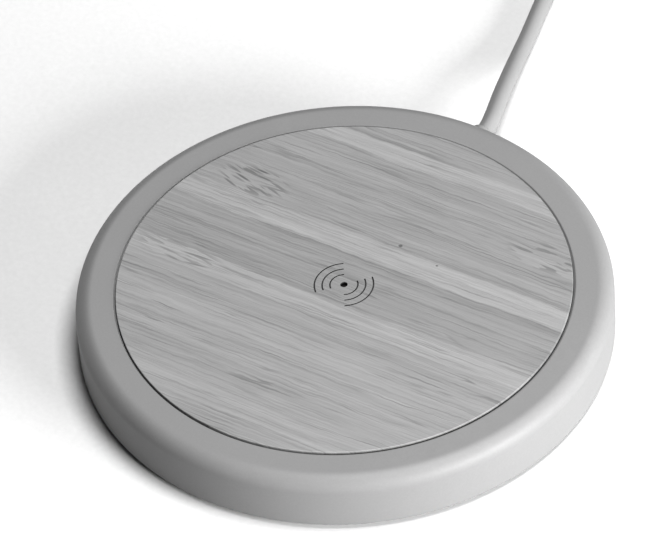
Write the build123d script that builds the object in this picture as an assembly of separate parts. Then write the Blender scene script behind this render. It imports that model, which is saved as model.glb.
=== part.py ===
from build123d import *
import math
import os

# Wireless charging pad with a bamboo inlay and a captive USB lead. Millimetres.
# Origin: centre of the round footprint, on the surface that the pad stands on.
# +Z goes up through the charging face, +Y points to the side the lead leaves by,
# and X runs along the wood grain.

# ---- Driving dimensions -------------------------------------------------------------

# Case
pad_diameter = 100.0
foot_height = 0.8
wall_height = 11.0
wall_thickness = 2.8
shoulder_radius = 3.0
lower_edge_radius = 0.4
lip_radius = 0.25
deck_thickness = 1.5
ring_shell = 2.2
ledge_width = 0.8
cover_thickness = 1.6
cover_clearance = 0.1
cover_lip_height = 0.8
cover_lip_width = 1.0
cover_tongue_top = 4.2

# Bamboo inlay and the mark engraved in it
inlay_diameter = 84.8
inlay_thickness = 2.0
inlay_gap = 0.3
inlay_proud = 0.2
inlay_edge_radius = 0.15
inlay_glue = 0.2
centre_hole_radius = 0.7
mark_radii = (2.6, 4.05, 5.5)
mark_half_span = 52.5
mark_turn = -5.2
mark_stroke = 0.3
mark_depth = 0.25

# Feet
foot_inner_radius = 38.0
foot_outer_radius = 45.6
foot_seat_depth = 0.4
foot_edge_radius = 0.3

# Charging coil stack under the deck
coil_inner_radius = 10.4
coil_turns = 10
coil_strand = 1.1
coil_height = 1.2
coil_glue = 0.15
coil_lead_radius = 0.5
ferrite_radius = 25.0
ferrite_hole_radius = 7.0
ferrite_thickness = 0.8

# Board
board_radius = 38.0
board_top = 5.0
board_thickness = 1.0
board_flat = (30.0, 36.5)

# Parts on the board: size along X, Y and Z, and where each one stands
chip_size = (6.0, 6.0, 0.9)
chip_place = (-13.0, -8.0)
transistor_size = (5.0, 6.0, 1.0)
transistor_places = [(13.0, -13.5), (13.0, -6.5)]
resonant_capacitor_size = (4.5, 3.2, 2.2)
resonant_capacitor_places = [(x, -30.5) for x in (-16.0, -9.5, 9.5, 16.0)]
input_capacitor_size = (3.2, 4.5, 2.5)
input_capacitor_places = [(-8.0, 30.5), (8.0, 30.5)]
inductor_size = (7.0, 7.0, 3.0)
inductor_place = (-31.0, 0.0)
inductor_core_radius = 2.2
passive_size = (1.6, 0.8, 0.6)
passive_pitch = 1.6
passive_rows = [(-20.5, -3.5, 6), (-9.0, 9.0, 5), (9.0, 9.0, 5), (7.5, -10.0, 4)]
led_size = (1.6, 0.8, 0.3)

# Screws: four hold the cover, three hold the board, two hold the cable clamp
cover_screw_circle = 42.0
cover_screw_angle = 45.0
board_screw_circle = 33.0
board_screw_angle = 30.0
cover_post_radius = 2.8
board_post_radius = 2.5
pilot_radius = 0.9
pilot_depth = 5.2
small_pilot_radius = 0.75
cover_screw_head = (2.1, 0.9)
board_screw_head = (1.7, 1.2)
clamp_screw_head = (1.5, 0.7)

# Lead and its strain relief
cord_diameter = 3.4
cord_height = 5.8
jacket_end = 40.5
grommet_flange_radius = 3.3
grommet_flange_start = 45.9
grommet_neck_start = 47.05
grommet_neck_radius = 2.7
grommet_nose_radius = 2.6
grommet_tip_radius = 2.15
grommet_tip = 52.6
conductor_radius = 0.6

# Cable clamp
clamp_y = 42.3
clamp_post_x = 4.8
clamp_post_radius = 1.9
clamp_length = 13.4
clamp_width = 4.0
clamp_bottom = 2.7
clamp_top = 4.3
saddle_width = 6.0
saddle_wrap = 1.2

# The lead's spare length: a flat coil of two layers, a tie round it, and a USB plug
coil_centre = (-41.1, 119.6)
coil_middle_radius = 20.0
coil_layer_turns = 3.5
coil_rest = 0.5
coil_entry_angle = 11.0
coil_exit_angle = -10.0
coil_tail = 14.0
tie_angle = 205.0
tie_span = 22.0
plug_entry = (-37.4, 157.3, 4.0)
plug_nose_length = 6.0
plug_body_length = 19.0
plug_body_width = 15.6
plug_body_height = 8.0
plug_shell_width = 12.0
plug_shell_height = 4.5
plug_shell_length = 12.0
plug_shell_metal = 0.3
plug_tongue_height = 1.9
plug_window_size = 2.0
plug_window_place = 2.9
plug_contact_size = (1.0, 0.2)

# ---- Radii and heights that follow --------------------------------------------------

pad_radius = pad_diameter / 2
ring_top = foot_height + wall_height
inlay_top = ring_top + inlay_proud
inlay_bottom = inlay_top - inlay_thickness
deck_top = inlay_bottom - inlay_glue
deck_bottom = deck_top - deck_thickness
inlay_radius = inlay_diameter / 2
recess_radius = inlay_radius + inlay_gap
recess_wall_radius = recess_radius + ring_shell
ring_bottom = ring_top - ring_shell
cavity_radius = pad_radius - wall_thickness
rim_radius = cavity_radius + ledge_width
cover_radius = rim_radius - cover_clearance
cover_top = foot_height + cover_thickness
foot_seat = foot_height + foot_seat_depth
winding_top = deck_bottom - coil_glue
winding_bottom = winding_top - coil_height
winding_radius = coil_inner_radius + coil_turns * coil_strand
ferrite_bottom = winding_bottom - ferrite_thickness
board_bottom = board_top - board_thickness
cord_radius = cord_diameter / 2
coil_outer_turn = coil_middle_radius + coil_layer_turns * cord_diameter / 2
coil_inner_turn = coil_middle_radius - coil_layer_turns * cord_diameter / 2
coil_low_turn = coil_rest + cord_radius
coil_high_turn = coil_low_turn + cord_diameter


# ---- Small helpers ------------------------------------------------------------------

def disc(radius, low, high, x=0.0, y=0.0):
    """Upright round bar between two heights."""
    return Pos(x, y, (low + high) / 2) * Cylinder(radius, high - low)


def annulus(inner, outer, low, high):
    """Flat ring between two heights."""
    return disc(outer, low, high) - disc(inner, low, high)


def block(size_x, size_y, low, high, x=0.0, y=0.0):
    """Rectangular block between two heights."""
    return Pos(x, y, (low + high) / 2) * Box(size_x, size_y, high - low)


def bar_along_y(radius, start, end, far_radius=None, x=0.0):
    """Round or tapered bar along Y at the height of the lead."""
    if far_radius is None:
        body = Cylinder(radius, end - start)
    else:
        body = Cone(far_radius, radius, end - start)
    return Pos(x, (start + end) / 2, cord_height) * Rot(90, 0, 0) * body


def turned(points):
    """Solid of revolution about Z from an outline of (radius, height) points."""
    outline = Polyline(*[(radius, 0, height) for radius, height in points], close=True)
    return revolve(make_face(outline), Axis.Z)


def rim(shape, radius, height):
    """The circular edges of one radius at one height."""
    circles = shape.edges().filter_by(GeomType.CIRCLE)
    return [
        edge for edge in circles
        if abs(edge.radius - radius) < 0.01 and abs(edge.center().Z - height) < 0.01
    ]


def on_circle(count, radius, first_angle):
    """Evenly spaced places round the pad's axis."""
    angles = [math.radians(first_angle + step * 360.0 / count) for step in range(count)]
    return [(radius * math.cos(angle), radius * math.sin(angle)) for angle in angles]


def wire(points, radius, bend):
    """Round wire along straight runs joined by equal arcs."""
    path = FilletPolyline(*points, radius=bend)
    return sweep(Plane(origin=path @ 0, z_dir=path % 0) * Circle(radius), path=path)


def cross_recess(depth, size, low, x, y):
    """Cross-shaped driver recess cut upwards into a screw head."""
    slot = 0.3 * size
    return block(size, slot, low, low + depth, x, y) + block(slot, size, low, low + depth, x, y)


def countersunk_screw(x, y, low, top, head, shank_radius):
    """Countersunk screw driven upwards, its head flush with the low side."""
    head_radius, head_height = head
    outline = [
        (0, low),
        (head_radius, low),
        (shank_radius, low + head_height),
        (shank_radius, top - shank_radius),
        (0.3 * shank_radius, top),
        (0, top),
    ]
    screw = Pos(x, y, 0) * turned(outline)
    return screw - cross_recess(0.4 * head_height, 1.2 * head_radius, low, x, y)


cover_screw_places = on_circle(4, cover_screw_circle, cover_screw_angle)
board_screw_places = on_circle(3, board_screw_circle, board_screw_angle)
clamp_screw_places = [(-clamp_post_x, clamp_y), (clamp_post_x, clamp_y)]


# ---- Case ---------------------------------------------------------------------------

def outer_form():
    """The pad's outside as one solid: upright wall, soft shoulder, eased lower edge."""
    form = disc(pad_radius, foot_height, ring_top)
    form = fillet(rim(form, pad_radius, ring_top), shoulder_radius)
    return fillet(rim(form, pad_radius, foot_height), lower_edge_radius)


def cavity():
    """Everything hollow below the deck and inside the wall."""
    outline = [
        (0, foot_height - 1),
        (rim_radius, foot_height - 1),
        (rim_radius, cover_top),
        (cavity_radius, cover_top),
        (cavity_radius, ring_bottom),
        (recess_wall_radius, ring_bottom),
        (recess_wall_radius, deck_bottom),
        (0, deck_bottom),
    ]
    return turned(outline)


def upper_housing():
    """Ring, wall and deck in one moulding, with its screw posts and the cord saddle."""
    shell = outer_form() - disc(recess_radius, deck_top, ring_top + 1)
    shell = fillet(rim(shell, recess_radius, ring_top), lip_radius)
    shell -= cavity()
    for x, y in cover_screw_places:
        shell += disc(cover_post_radius, cover_top, deck_bottom, x, y)
        shell -= disc(pilot_radius, cover_top, cover_top + pilot_depth, x, y)
    for x, y in board_screw_places:
        shell += disc(board_post_radius, board_top, deck_bottom, x, y)
        shell -= disc(small_pilot_radius, board_top, deck_bottom - 0.3, x, y)
    saddle = block(saddle_width, clamp_width, cord_height + saddle_wrap, deck_bottom, 0, clamp_y)
    shell += saddle - bar_along_y(cord_radius, clamp_y - 4, clamp_y + 4)
    for x, y in clamp_screw_places:
        shell += disc(clamp_post_radius, clamp_top, deck_bottom, x, y)
        shell -= disc(small_pilot_radius, clamp_top, deck_bottom - 0.6, x, y)
    shell -= disc(centre_hole_radius, deck_bottom - 1, deck_top + 1)
    slot_y = (grommet_neck_start + pad_radius) / 2
    slot = block(2 * grommet_neck_radius, 6, 0, cord_height, 0, slot_y)
    return shell - slot - bar_along_y(grommet_neck_radius, slot_y - 3, slot_y + 3)


def bottom_cover():
    """Screwed-on base with the foot seat, a locating lip and a tongue under the grommet."""
    cover = disc(cover_radius, foot_height, cover_top)
    lip_outer = cavity_radius - cover_clearance
    lip = annulus(lip_outer - cover_lip_width, lip_outer, cover_top, cover_top + cover_lip_height)
    cover += lip - block(2 * grommet_flange_radius + 0.8, 8, 0, 5, 0, cavity_radius)
    tongue_width = 2 * (grommet_neck_radius - cover_clearance)
    tongue_y = (grommet_neck_start + pad_radius) / 2
    tongue_length = pad_radius - grommet_neck_start + 2
    tongue = block(tongue_width, tongue_length, foot_height, cover_tongue_top, 0, tongue_y + 1)
    tongue &= outer_form()
    cover += tongue - bar_along_y(grommet_neck_radius, 45, 51)
    cover -= annulus(foot_inner_radius, foot_outer_radius, foot_height, foot_seat)
    head_radius, head_height = cover_screw_head
    for x, y in cover_screw_places:
        seat = Cone(head_radius, pilot_radius, head_height)
        cover -= Pos(x, y, foot_seat + head_height / 2) * seat
        cover -= disc(pilot_radius, foot_seat, cover_top, x, y)
    return cover


def foot_ring():
    """Flat silicone ring stuck in the base, over the cover screws."""
    ring = annulus(foot_inner_radius, foot_outer_radius, 0, foot_seat)
    edges = rim(ring, foot_inner_radius, 0) + rim(ring, foot_outer_radius, 0)
    return fillet(edges, foot_edge_radius)


def cover_screws():
    return [
        countersunk_screw(x, y, foot_seat, cover_top + 5.0, cover_screw_head, pilot_radius)
        for x, y in cover_screw_places
    ]


# ---- Inlay --------------------------------------------------------------------------

def mark_groove(radius, side_angle):
    """One engraved arc with round ends, centred on an angle."""
    low = inlay_top - mark_depth
    high = inlay_top + 1
    band = annulus(radius - mark_stroke / 2, radius + mark_stroke / 2, low, high)
    spread = [side_angle - mark_half_span, side_angle, side_angle + mark_half_span]
    corners = [(20 * math.cos(math.radians(a)), 20 * math.sin(math.radians(a))) for a in spread]
    wedge = extrude(make_face(Polyline((0, 0), *corners, close=True)), inlay_top + 2)
    groove = band & wedge
    for angle in (spread[0], spread[2]):
        end_x = radius * math.cos(math.radians(angle))
        end_y = radius * math.sin(math.radians(angle))
        groove += disc(mark_stroke / 2, low, high, end_x, end_y)
    return groove


def top_inlay():
    """Bamboo disc with three engraved arcs each side of the light hole."""
    wood = disc(inlay_radius, inlay_bottom, inlay_top)
    wood = fillet(rim(wood, inlay_radius, inlay_top), inlay_edge_radius)
    wood -= disc(centre_hole_radius, inlay_bottom - 1, inlay_top + 1)
    for radius in mark_radii:
        for side in (mark_turn, mark_turn + 180):
            wood -= mark_groove(radius, side)
    return wood


def inlay_adhesive():
    return annulus(1.2, inlay_radius - 0.8, deck_top, inlay_bottom)


# ---- Coil stack ---------------------------------------------------------------------

def charging_coil():
    """Flat winding of stranded wire: turns side by side, slightly flattened."""
    middle = (winding_top + winding_bottom) / 2
    section = Sketch()
    for turn in range(coil_turns):
        radius = coil_inner_radius + (turn + 0.5) * coil_strand
        section += Pos(radius, middle) * RectangleRounded(coil_strand, coil_height, 0.3)
    return revolve(Plane.XZ * section, Axis.Z)


def coil_leads(winding):
    """The winding's two ends, each taken out sideways and down to the board."""
    middle = (winding_top + winding_bottom) / 2
    inner_x = ferrite_hole_radius - 1.0
    outer_x = ferrite_radius + 1.4
    inner = wire(
        [(coil_inner_radius + 0.3, 0, middle), (inner_x, 0, middle), (inner_x, 0, board_top)],
        coil_lead_radius, 0.9,
    )
    outer = wire(
        [(winding_radius - 0.3, 0, middle), (outer_x, 0, middle), (outer_x, 0, board_top)],
        coil_lead_radius, 0.9,
    )
    return [Rot(0, 0, 180) * inner - winding, Rot(0, 0, 200) * outer - winding]


def coil_adhesive():
    return annulus(coil_inner_radius, winding_radius, winding_top, deck_bottom)


def ferrite_shield():
    return annulus(ferrite_hole_radius, ferrite_radius, ferrite_bottom, winding_bottom)


def thermistor():
    """Bead against the deck inside the winding, on two stiff legs from the board."""
    bead = disc(1.1, winding_bottom + 0.3, deck_bottom, 5.0, 0)
    bead = fillet(rim(bead, 1.1, winding_bottom + 0.3), 0.5)
    for y in (-0.5, 0.5):
        bead += disc(0.2, board_top, winding_bottom + 0.5, 5.0, y)
    return bead


# ---- Board --------------------------------------------------------------------------

def main_board():
    """Round board with three screw holes and a flat towards the lead."""
    board = disc(board_radius, board_bottom, board_top)
    flat_length, flat_y = board_flat
    board -= block(flat_length, 4, board_bottom - 1, board_top + 1, 0, flat_y + 2)
    for x, y in board_screw_places:
        board -= disc(small_pilot_radius, board_bottom - 1, board_top + 1, x, y)
    return board


def board_screws():
    """Pan-head screws driven up through the board into its posts."""
    head_radius, head_height = board_screw_head
    low = board_bottom - head_height
    screws = []
    for x, y in board_screw_places:
        head = disc(head_radius, low, board_bottom, x, y)
        head = fillet(head.edges().group_by(Axis.Z)[0], 0.4)
        screw = head + disc(small_pilot_radius, board_bottom, deck_bottom - 0.6, x, y)
        screws.append(screw - cross_recess(0.6, 2.0, low, x, y))
    return screws


def component(size, place, edge=0.15):
    """Small moulded part standing on the board, its top edges eased."""
    part = block(size[0], size[1], board_top, board_top + size[2], *place)
    return fillet(part.edges().group_by(Axis.Z)[-1], edge)


def controller_chip():
    """Flat package with a dimple at its first pin."""
    top = board_top + chip_size[2]
    dimple = disc(0.35, top - 0.1, top + 0.1, chip_place[0] - 2.0, chip_place[1] + 2.0)
    return component(chip_size, chip_place) - dimple


def bridge_transistors():
    return [component(transistor_size, place) for place in transistor_places]


def resonant_capacitors():
    return [component(resonant_capacitor_size, place, 0.3) for place in resonant_capacitor_places]


def input_capacitors():
    return [component(input_capacitor_size, place, 0.3) for place in input_capacitor_places]


def power_inductor():
    """Shielded square inductor with a round core showing in its top."""
    top = board_top + inductor_size[2]
    groove = annulus(inductor_core_radius, inductor_core_radius + 0.5, top - 0.4, top + 1)
    return component(inductor_size, inductor_place, 0.4) - Pos(*inductor_place) * groove


def chip_passives():
    """Chip resistors and capacitors in rows beside the active parts."""
    parts = []
    for x, first_y, count in passive_rows:
        for step in range(count):
            parts.append(component(passive_size, (x, first_y - passive_pitch * step), 0.1))
    return parts


def status_led():
    """Small white base with a clear lens on it."""
    size_x, size_y, height = led_size
    lens_bottom = board_top + height
    base = block(size_x, size_y, board_top, lens_bottom)
    return base + block(size_x - 0.6, size_y, lens_bottom, lens_bottom + height)


def light_pipe():
    """Tinted rod from just above the LED to just under the wood's face."""
    rod = disc(centre_hole_radius - 0.05, board_top + 0.75, inlay_top - 0.9)
    return rod + disc(1.6, deck_bottom - 0.4, deck_bottom)


# ---- Where the lead enters ----------------------------------------------------------

def strain_relief():
    """Rubber grommet: flange inside the wall, neck in the slot, tapered nose outside."""
    grommet = bar_along_y(grommet_flange_radius, grommet_flange_start, grommet_neck_start)
    grommet += bar_along_y(grommet_neck_radius, grommet_neck_start, pad_radius)
    nose = bar_along_y(grommet_nose_radius, pad_radius, grommet_tip, grommet_tip_radius)
    grommet += nose
    return grommet - bar_along_y(cord_radius, grommet_flange_start - 1, grommet_tip + 1)


def cord_inner_end():
    """The jacket's stretch inside the case, held by the grommet and the clamp."""
    return bar_along_y(cord_radius, jacket_end, pad_radius)


def cable_clamp():
    """Bar that presses the jacket against the saddle."""
    bar = extrude(Pos(0, clamp_y, clamp_bottom) * SlotOverall(clamp_length, clamp_width),
                  clamp_top - clamp_bottom)
    bar -= bar_along_y(cord_radius, clamp_y - 4, clamp_y + 4)
    head_radius, head_height = clamp_screw_head
    for x, y in clamp_screw_places:
        seat = Cone(head_radius, small_pilot_radius, head_height)
        bar -= Pos(x, y, clamp_bottom + head_height / 2) * seat
        bar -= disc(small_pilot_radius, clamp_bottom, clamp_top, x, y)
    return bar


def clamp_screws():
    return [
        countersunk_screw(x, y, clamp_bottom, deck_bottom - 0.9, clamp_screw_head, small_pilot_radius)
        for x, y in clamp_screw_places
    ]


def lead_wire(side):
    """One insulated conductor from the jacket's end down to its pad on the board."""
    start_x = 0.8 * side
    pad_height = board_top + conductor_radius
    points = [
        (start_x, jacket_end, cord_height),
        (start_x, jacket_end - 2.4, cord_height),
        (3.2 * side, jacket_end - 6.0, pad_height),
        (3.2 * side, jacket_end - 10.0, pad_height),
    ]
    return wire(points, conductor_radius, 1.6)


# ---- The free lead ------------------------------------------------------------------

def coil_place(radius, angle, height):
    """A point on the spare coil, by its radius and angle about the coil's axis."""
    turn = math.radians(angle)
    return (
        coil_centre[0] + radius * math.cos(turn),
        coil_centre[1] + radius * math.sin(turn),
        height,
    )


def beside_coil(angle, height, distance):
    """A point on the tangent to the outer turn; a negative distance lies before it."""
    turn = math.radians(angle)
    x, y, z = coil_place(coil_outer_turn, angle, height)
    return (x - distance * math.sin(turn), y + distance * math.cos(turn), z)


# From the wall, out through the grommet's nose, down to the table, and along it to the coil
cord_route = [
    (0.0, pad_radius, cord_height),
    (0.0, 57.2, cord_height),
    (-1.5, 63.7, 5.2),
    (-4.1, 69.9, 3.5),
    (-6.2, 76.9, 2.1),
    (-7.6, 84.2, 1.7),
    (-9.2, 91.3, 1.7),
    (-10.4, 97.8, 1.7),
    beside_coil(coil_entry_angle, coil_low_turn, -coil_tail - 6.4),
    beside_coil(coil_entry_angle, coil_low_turn, -coil_tail),
]

# From the coil, down off its top layer and round into the plug
plug_route = [
    beside_coil(coil_exit_angle, coil_high_turn, coil_tail),
    beside_coil(coil_exit_angle, coil_high_turn, coil_tail + 7.0),
    (-13.2, 143.3, 4.6),
    (-17.0, 149.8, 3.3),
    (-22.8, 154.7, 3.0),
    (-30.0, 157.3, 4.0),
    plug_entry,
]


def bend_radii(route):
    """Arc radius at each inner point: 0.45 of the shorter run over tan of half the turn."""
    radii = []
    for before, here, after in zip(route, route[1:], route[2:]):
        run_in = Vector(*here) - Vector(*before)
        run_out = Vector(*after) - Vector(*here)
        half_turn = math.radians(run_in.get_angle(run_out) / 2)
        radii.append(0.45 * min(run_in.length, run_out.length) / math.tan(half_turn))
    return radii


def cord_tube(name, route):
    """Plain tube of the lead's diameter along a route, with its radii and volume printed."""
    radii = bend_radii(route)
    path = FilletPolyline(*route, radius=radii)
    tube = sweep(Plane(origin=path @ 0, z_dir=path % 0) * Circle(cord_radius), path=path)
    runs = [(Vector(*b) - Vector(*a)).length for a, b in zip(route, route[1:])]
    expected = math.pi * cord_radius ** 2 * path.length
    print(name, "runs", [round(run, 1) for run in runs])
    print(name, "radii", [round(radius, 1) for radius in radii])
    print(name, "length", round(path.length, 1), "volume", round(tube.volume, 1), "of", round(expected, 1))
    return tube


def coil_form():
    """Outer shape of the coiled length, with a short straight tail at each end."""
    inner = coil_inner_turn - cord_radius
    outer = coil_outer_turn + cord_radius
    top = coil_high_turn + cord_radius
    coil = annulus(inner, outer, coil_rest, top)
    edges = rim(coil, inner, coil_rest) + rim(coil, inner, top)
    edges += rim(coil, outer, coil_rest) + rim(coil, outer, top)
    coil = Pos(coil_centre[0], coil_centre[1], 0) * fillet(edges, 0.9 * cord_radius)
    ends = (
        (coil_entry_angle, coil_low_turn, -coil_tail),
        (coil_exit_angle, coil_high_turn, coil_tail),
    )
    for angle, height, distance in ends:
        tail = Line(beside_coil(angle, height, 0), beside_coil(angle, height, distance))
        coil += sweep(Plane(origin=tail @ 0, z_dir=tail % 0) * Circle(cord_radius), path=tail)
    return coil


def cord_tie():
    """Strap wrapped once round the coil's turns."""
    inner = coil_inner_turn - cord_radius
    outer = coil_outer_turn + cord_radius
    top = coil_high_turn + cord_radius
    width = outer - inner
    height = top - coil_rest
    place = Pos((inner + outer) / 2, (coil_rest + top) / 2)
    wrap = place * RectangleRounded(width + 2 * coil_rest, height + 2 * coil_rest, 2.0)
    wrap -= place * RectangleRounded(width, height, 0.9 * cord_radius)
    strap = revolve(Plane.XZ * wrap, Axis.Z, tie_span)
    return Pos(coil_centre[0], coil_centre[1], 0) * Rot(0, 0, tie_angle) * strap


# ---- USB plug, lying flat beside the coil and pointing along -X ----------------------

plug_body_start = plug_entry[0] - plug_nose_length
plug_body_end = plug_body_start - plug_body_length
plug_shell_end = plug_body_end - plug_shell_length


def plug_box(size_y, size_z, start, end, y=0.0, z=0.0):
    """Block on the plug's axis between two places along X."""
    centre = Pos((start + end) / 2, plug_entry[1] + y, plug_entry[2] + z)
    return centre * Box(abs(end - start), size_y, size_z)


def plug_overmould():
    """Moulded grip with a ribbed, tapered nose where the lead goes in."""
    grip = plug_box(plug_body_width, plug_body_height, plug_body_start, plug_body_end)
    grip = fillet(grip.edges().filter_by(Axis.X), 2.4)
    grip = fillet(grip.faces().sort_by(Axis.X)[-1].edges(), 1.2)
    nose_turn = Rot(0, -90, 0)
    nose_centre = (plug_entry[0] + plug_body_start) / 2
    nose = Pos(nose_centre, plug_entry[1], plug_entry[2]) * nose_turn * Cone(2.3, 3.2, plug_nose_length)
    for step in range(2):
        rib = plug_entry[0] - 1.8 - 2.0 * step
        cut = Pos(rib, plug_entry[1], plug_entry[2]) * nose_turn * Cylinder(4.0, 0.7)
        keep = Pos(rib, plug_entry[1], plug_entry[2]) * nose_turn * Cylinder(2.1, 0.7)
        nose -= cut - keep
    return grip + nose


def plug_shell():
    """Folded metal shell, open at its mouth, with four latch windows."""
    shell = plug_box(plug_shell_width, plug_shell_height, plug_body_end, plug_shell_end)
    shell = fillet(shell.edges().filter_by(Axis.X), 0.6)
    shell -= plug_box(
        plug_shell_width - 2 * plug_shell_metal,
        plug_shell_height - 2 * plug_shell_metal,
        plug_body_end,
        plug_shell_end - 1,
    )
    window_end = plug_shell_end + 5.4
    for y in (-plug_window_place, plug_window_place):
        shell -= plug_box(plug_window_size + 0.3, 10, window_end + plug_window_size, window_end, y)
    return shell


def plug_tongue():
    """Insulator that carries the contacts, filling the lower half of the shell."""
    inner_height = plug_shell_height - 2 * plug_shell_metal
    drop = (plug_tongue_height - inner_height) / 2
    width = plug_shell_width - 2 * plug_shell_metal
    return plug_box(width, plug_tongue_height, plug_body_end, plug_shell_end + 0.4, 0, drop)


def plug_contacts():
    """Four flat contacts on the insulator, the outer two longer."""
    inner_height = plug_shell_height - 2 * plug_shell_metal
    width, thickness = plug_contact_size
    rise = plug_tongue_height - inner_height / 2 + thickness / 2
    contacts = []
    for y, reach in ((-3.5, 1.2), (-1.0, 2.2), (1.0, 2.2), (3.5, 1.2)):
        contacts.append(plug_box(width, thickness, plug_body_end, plug_shell_end + reach, y, rise))
    return contacts


# ---- All nodes ----------------------------------------------------------------------

winding = charging_coil()

nodes = {
    "upper_housing": upper_housing(),
    "bottom_cover": bottom_cover(),
    "foot_ring": foot_ring(),
    "cover_screws": cover_screws(),
    "top_inlay": top_inlay(),
    "inlay_adhesive": inlay_adhesive(),
    "charging_coil": winding,
    "coil_leads": coil_leads(winding),
    "coil_adhesive": coil_adhesive(),
    "ferrite_shield": ferrite_shield(),
    "thermistor": thermistor(),
    "main_board": main_board(),
    "board_screws": board_screws(),
    "controller_chip": controller_chip(),
    "bridge_transistors": bridge_transistors(),
    "resonant_capacitors": resonant_capacitors(),
    "input_capacitors": input_capacitors(),
    "power_inductor": power_inductor(),
    "chip_passives": chip_passives(),
    "status_led": status_led(),
    "light_pipe": light_pipe(),
    "strain_relief": strain_relief(),
    "cord_inner_end": cord_inner_end(),
    "cable_clamp": cable_clamp(),
    "clamp_screws": clamp_screws(),
    "lead_wire_positive": lead_wire(-1),
    "lead_wire_negative": lead_wire(1),
    "cord": cord_tube("cord", cord_route),
    "cord_coil": coil_form(),
    "cord_end": cord_tube("cord_end", plug_route),
    "cord_tie": cord_tie(),
    "plug_overmould": plug_overmould(),
    "plug_shell": plug_shell(),
    "plug_tongue": plug_tongue(),
    "plug_contacts": plug_contacts(),
}

os.makedirs("parts", exist_ok=True)
for name, shape in nodes.items():
    solids = shape if isinstance(shape, list) else [shape]
    pieces = [solid for entry in solids for solid in entry.solids()]
    whole = Compound(children=pieces) if len(pieces) > 1 else pieces[0]
    export_step(whole, f"parts/{name}.step")
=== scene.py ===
import math

import bmesh
import bpy
from mathutils import Matrix, Vector


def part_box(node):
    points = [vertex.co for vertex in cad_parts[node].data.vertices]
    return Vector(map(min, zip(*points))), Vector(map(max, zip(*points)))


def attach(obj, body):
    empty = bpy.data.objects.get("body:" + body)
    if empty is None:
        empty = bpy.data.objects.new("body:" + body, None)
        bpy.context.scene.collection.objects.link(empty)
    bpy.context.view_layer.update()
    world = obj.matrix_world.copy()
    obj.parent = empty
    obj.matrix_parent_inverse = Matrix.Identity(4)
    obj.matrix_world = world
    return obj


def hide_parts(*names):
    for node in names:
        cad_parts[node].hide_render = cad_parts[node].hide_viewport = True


bl_info = {
    "name": "Wireless charging pad",
    "version": (1, 0, 0),
    "blender": (4, 5, 0),
    "location": "3D View > Sidebar > Charging Pad",
    "description": "Builds a round charging pad with a bamboo inlay and a coiled USB lead",
    "category": "Add Mesh",
}

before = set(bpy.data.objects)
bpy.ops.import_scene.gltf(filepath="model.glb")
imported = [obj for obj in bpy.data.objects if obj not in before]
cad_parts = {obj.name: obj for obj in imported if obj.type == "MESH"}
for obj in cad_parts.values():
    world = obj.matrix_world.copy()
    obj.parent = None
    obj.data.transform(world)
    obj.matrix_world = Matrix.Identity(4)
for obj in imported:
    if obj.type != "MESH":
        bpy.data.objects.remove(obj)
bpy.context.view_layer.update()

BODY = "root"

# Metres, in the frame of the CAD model: Z up, +Y towards the lead, X along the wood grain.
case_low, case_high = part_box("upper_housing")
inlay_low, inlay_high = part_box("top_inlay")
relief_low, relief_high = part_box("strain_relief")
coil_low, coil_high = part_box("cord_coil")
tie_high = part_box("cord_tie")[1]
winding_low, winding_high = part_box("charging_coil")
board_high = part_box("main_board")[1]
grip_low, grip_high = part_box("plug_overmould")

pad_radius = case_high.x
ring_top = case_high.z
foot_height = case_low.z
inlay_top = inlay_high.z
inlay_radius = inlay_high.x
cord_height = (relief_low.z + relief_high.z) / 2
cover_top = foot_height + 0.0016


# ---- Settings that a user would change ------------------------------------------------

def length_setting(name, description, default):
    return bpy.props.FloatProperty(
        name=name, description=description, default=default, min=0.0, unit="LENGTH", precision=5
    )


def share_setting(name, description, default):
    return bpy.props.FloatProperty(
        name=name, description=description, default=default, min=0.0, max=1.0, subtype="FACTOR"
    )


def colour_setting(name, description, default):
    return bpy.props.FloatVectorProperty(
        name=name, description=description, default=default, size=3, min=0.0, max=1.0,
        subtype="COLOR"
    )


class PadCaseSettings(bpy.types.PropertyGroup):
    shoulder_radius: length_setting(
        "Shoulder radius", "Rounding between the ring and the wall", 0.003
    )
    lower_edge_radius: length_setting("Lower edge radius", "Rounding under the wall", 0.0004)
    lip_radius: length_setting("Lip radius", "Rounding where the ring meets the inlay", 0.00025)
    wall_thickness: length_setting("Wall thickness", "Thickness of the outer wall", 0.0028)
    ring_shell: length_setting("Ring shell", "Thickness of the moulding round the recess", 0.0022)
    inlay_gap: length_setting("Inlay gap", "Gap round the wooden disc", 0.0003)
    housing_colour: colour_setting("Housing colour", "Moulded ring and wall", (0.161, 0.161, 0.161))
    cover_colour: colour_setting("Cover colour", "Base cover", (0.1, 0.1, 0.1))
    foot_colour: colour_setting("Foot colour", "Silicone foot ring", (0.035, 0.035, 0.036))
    roughness: share_setting("Roughness", "How matt the moulding is", 0.5)


class PadInlaySettings(bpy.types.PropertyGroup):
    light_wood: colour_setting("Light strips", "Palest bamboo strip", (0.238, 0.238, 0.238))
    dark_wood: colour_setting("Dark strips", "Darkest bamboo strip", (0.163, 0.163, 0.163))
    streak_depth: share_setting(
        "Streak depth", "How much the dark grain lines darken the wood", 0.36
    )
    engraving_tone: share_setting("Engraving tone", "Brightness left in the engraved mark", 0.12)


class PadLeadSettings(bpy.types.PropertyGroup):
    diameter: length_setting("Lead diameter", "Outside diameter of the lead's jacket", 0.0034)
    length: length_setting("Lead length", "From the wall to the plug", 1.0)
    coil_radius: length_setting("Coil radius", "Middle of the spare coil's turns", 0.02)
    jacket_colour: colour_setting(
        "Jacket colour", "Lead, strain relief and plug grip", (0.18, 0.18, 0.18)
    )
    strap_colour: colour_setting("Strap colour", "Tie round the spare coil", (0.06, 0.06, 0.062))


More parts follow.
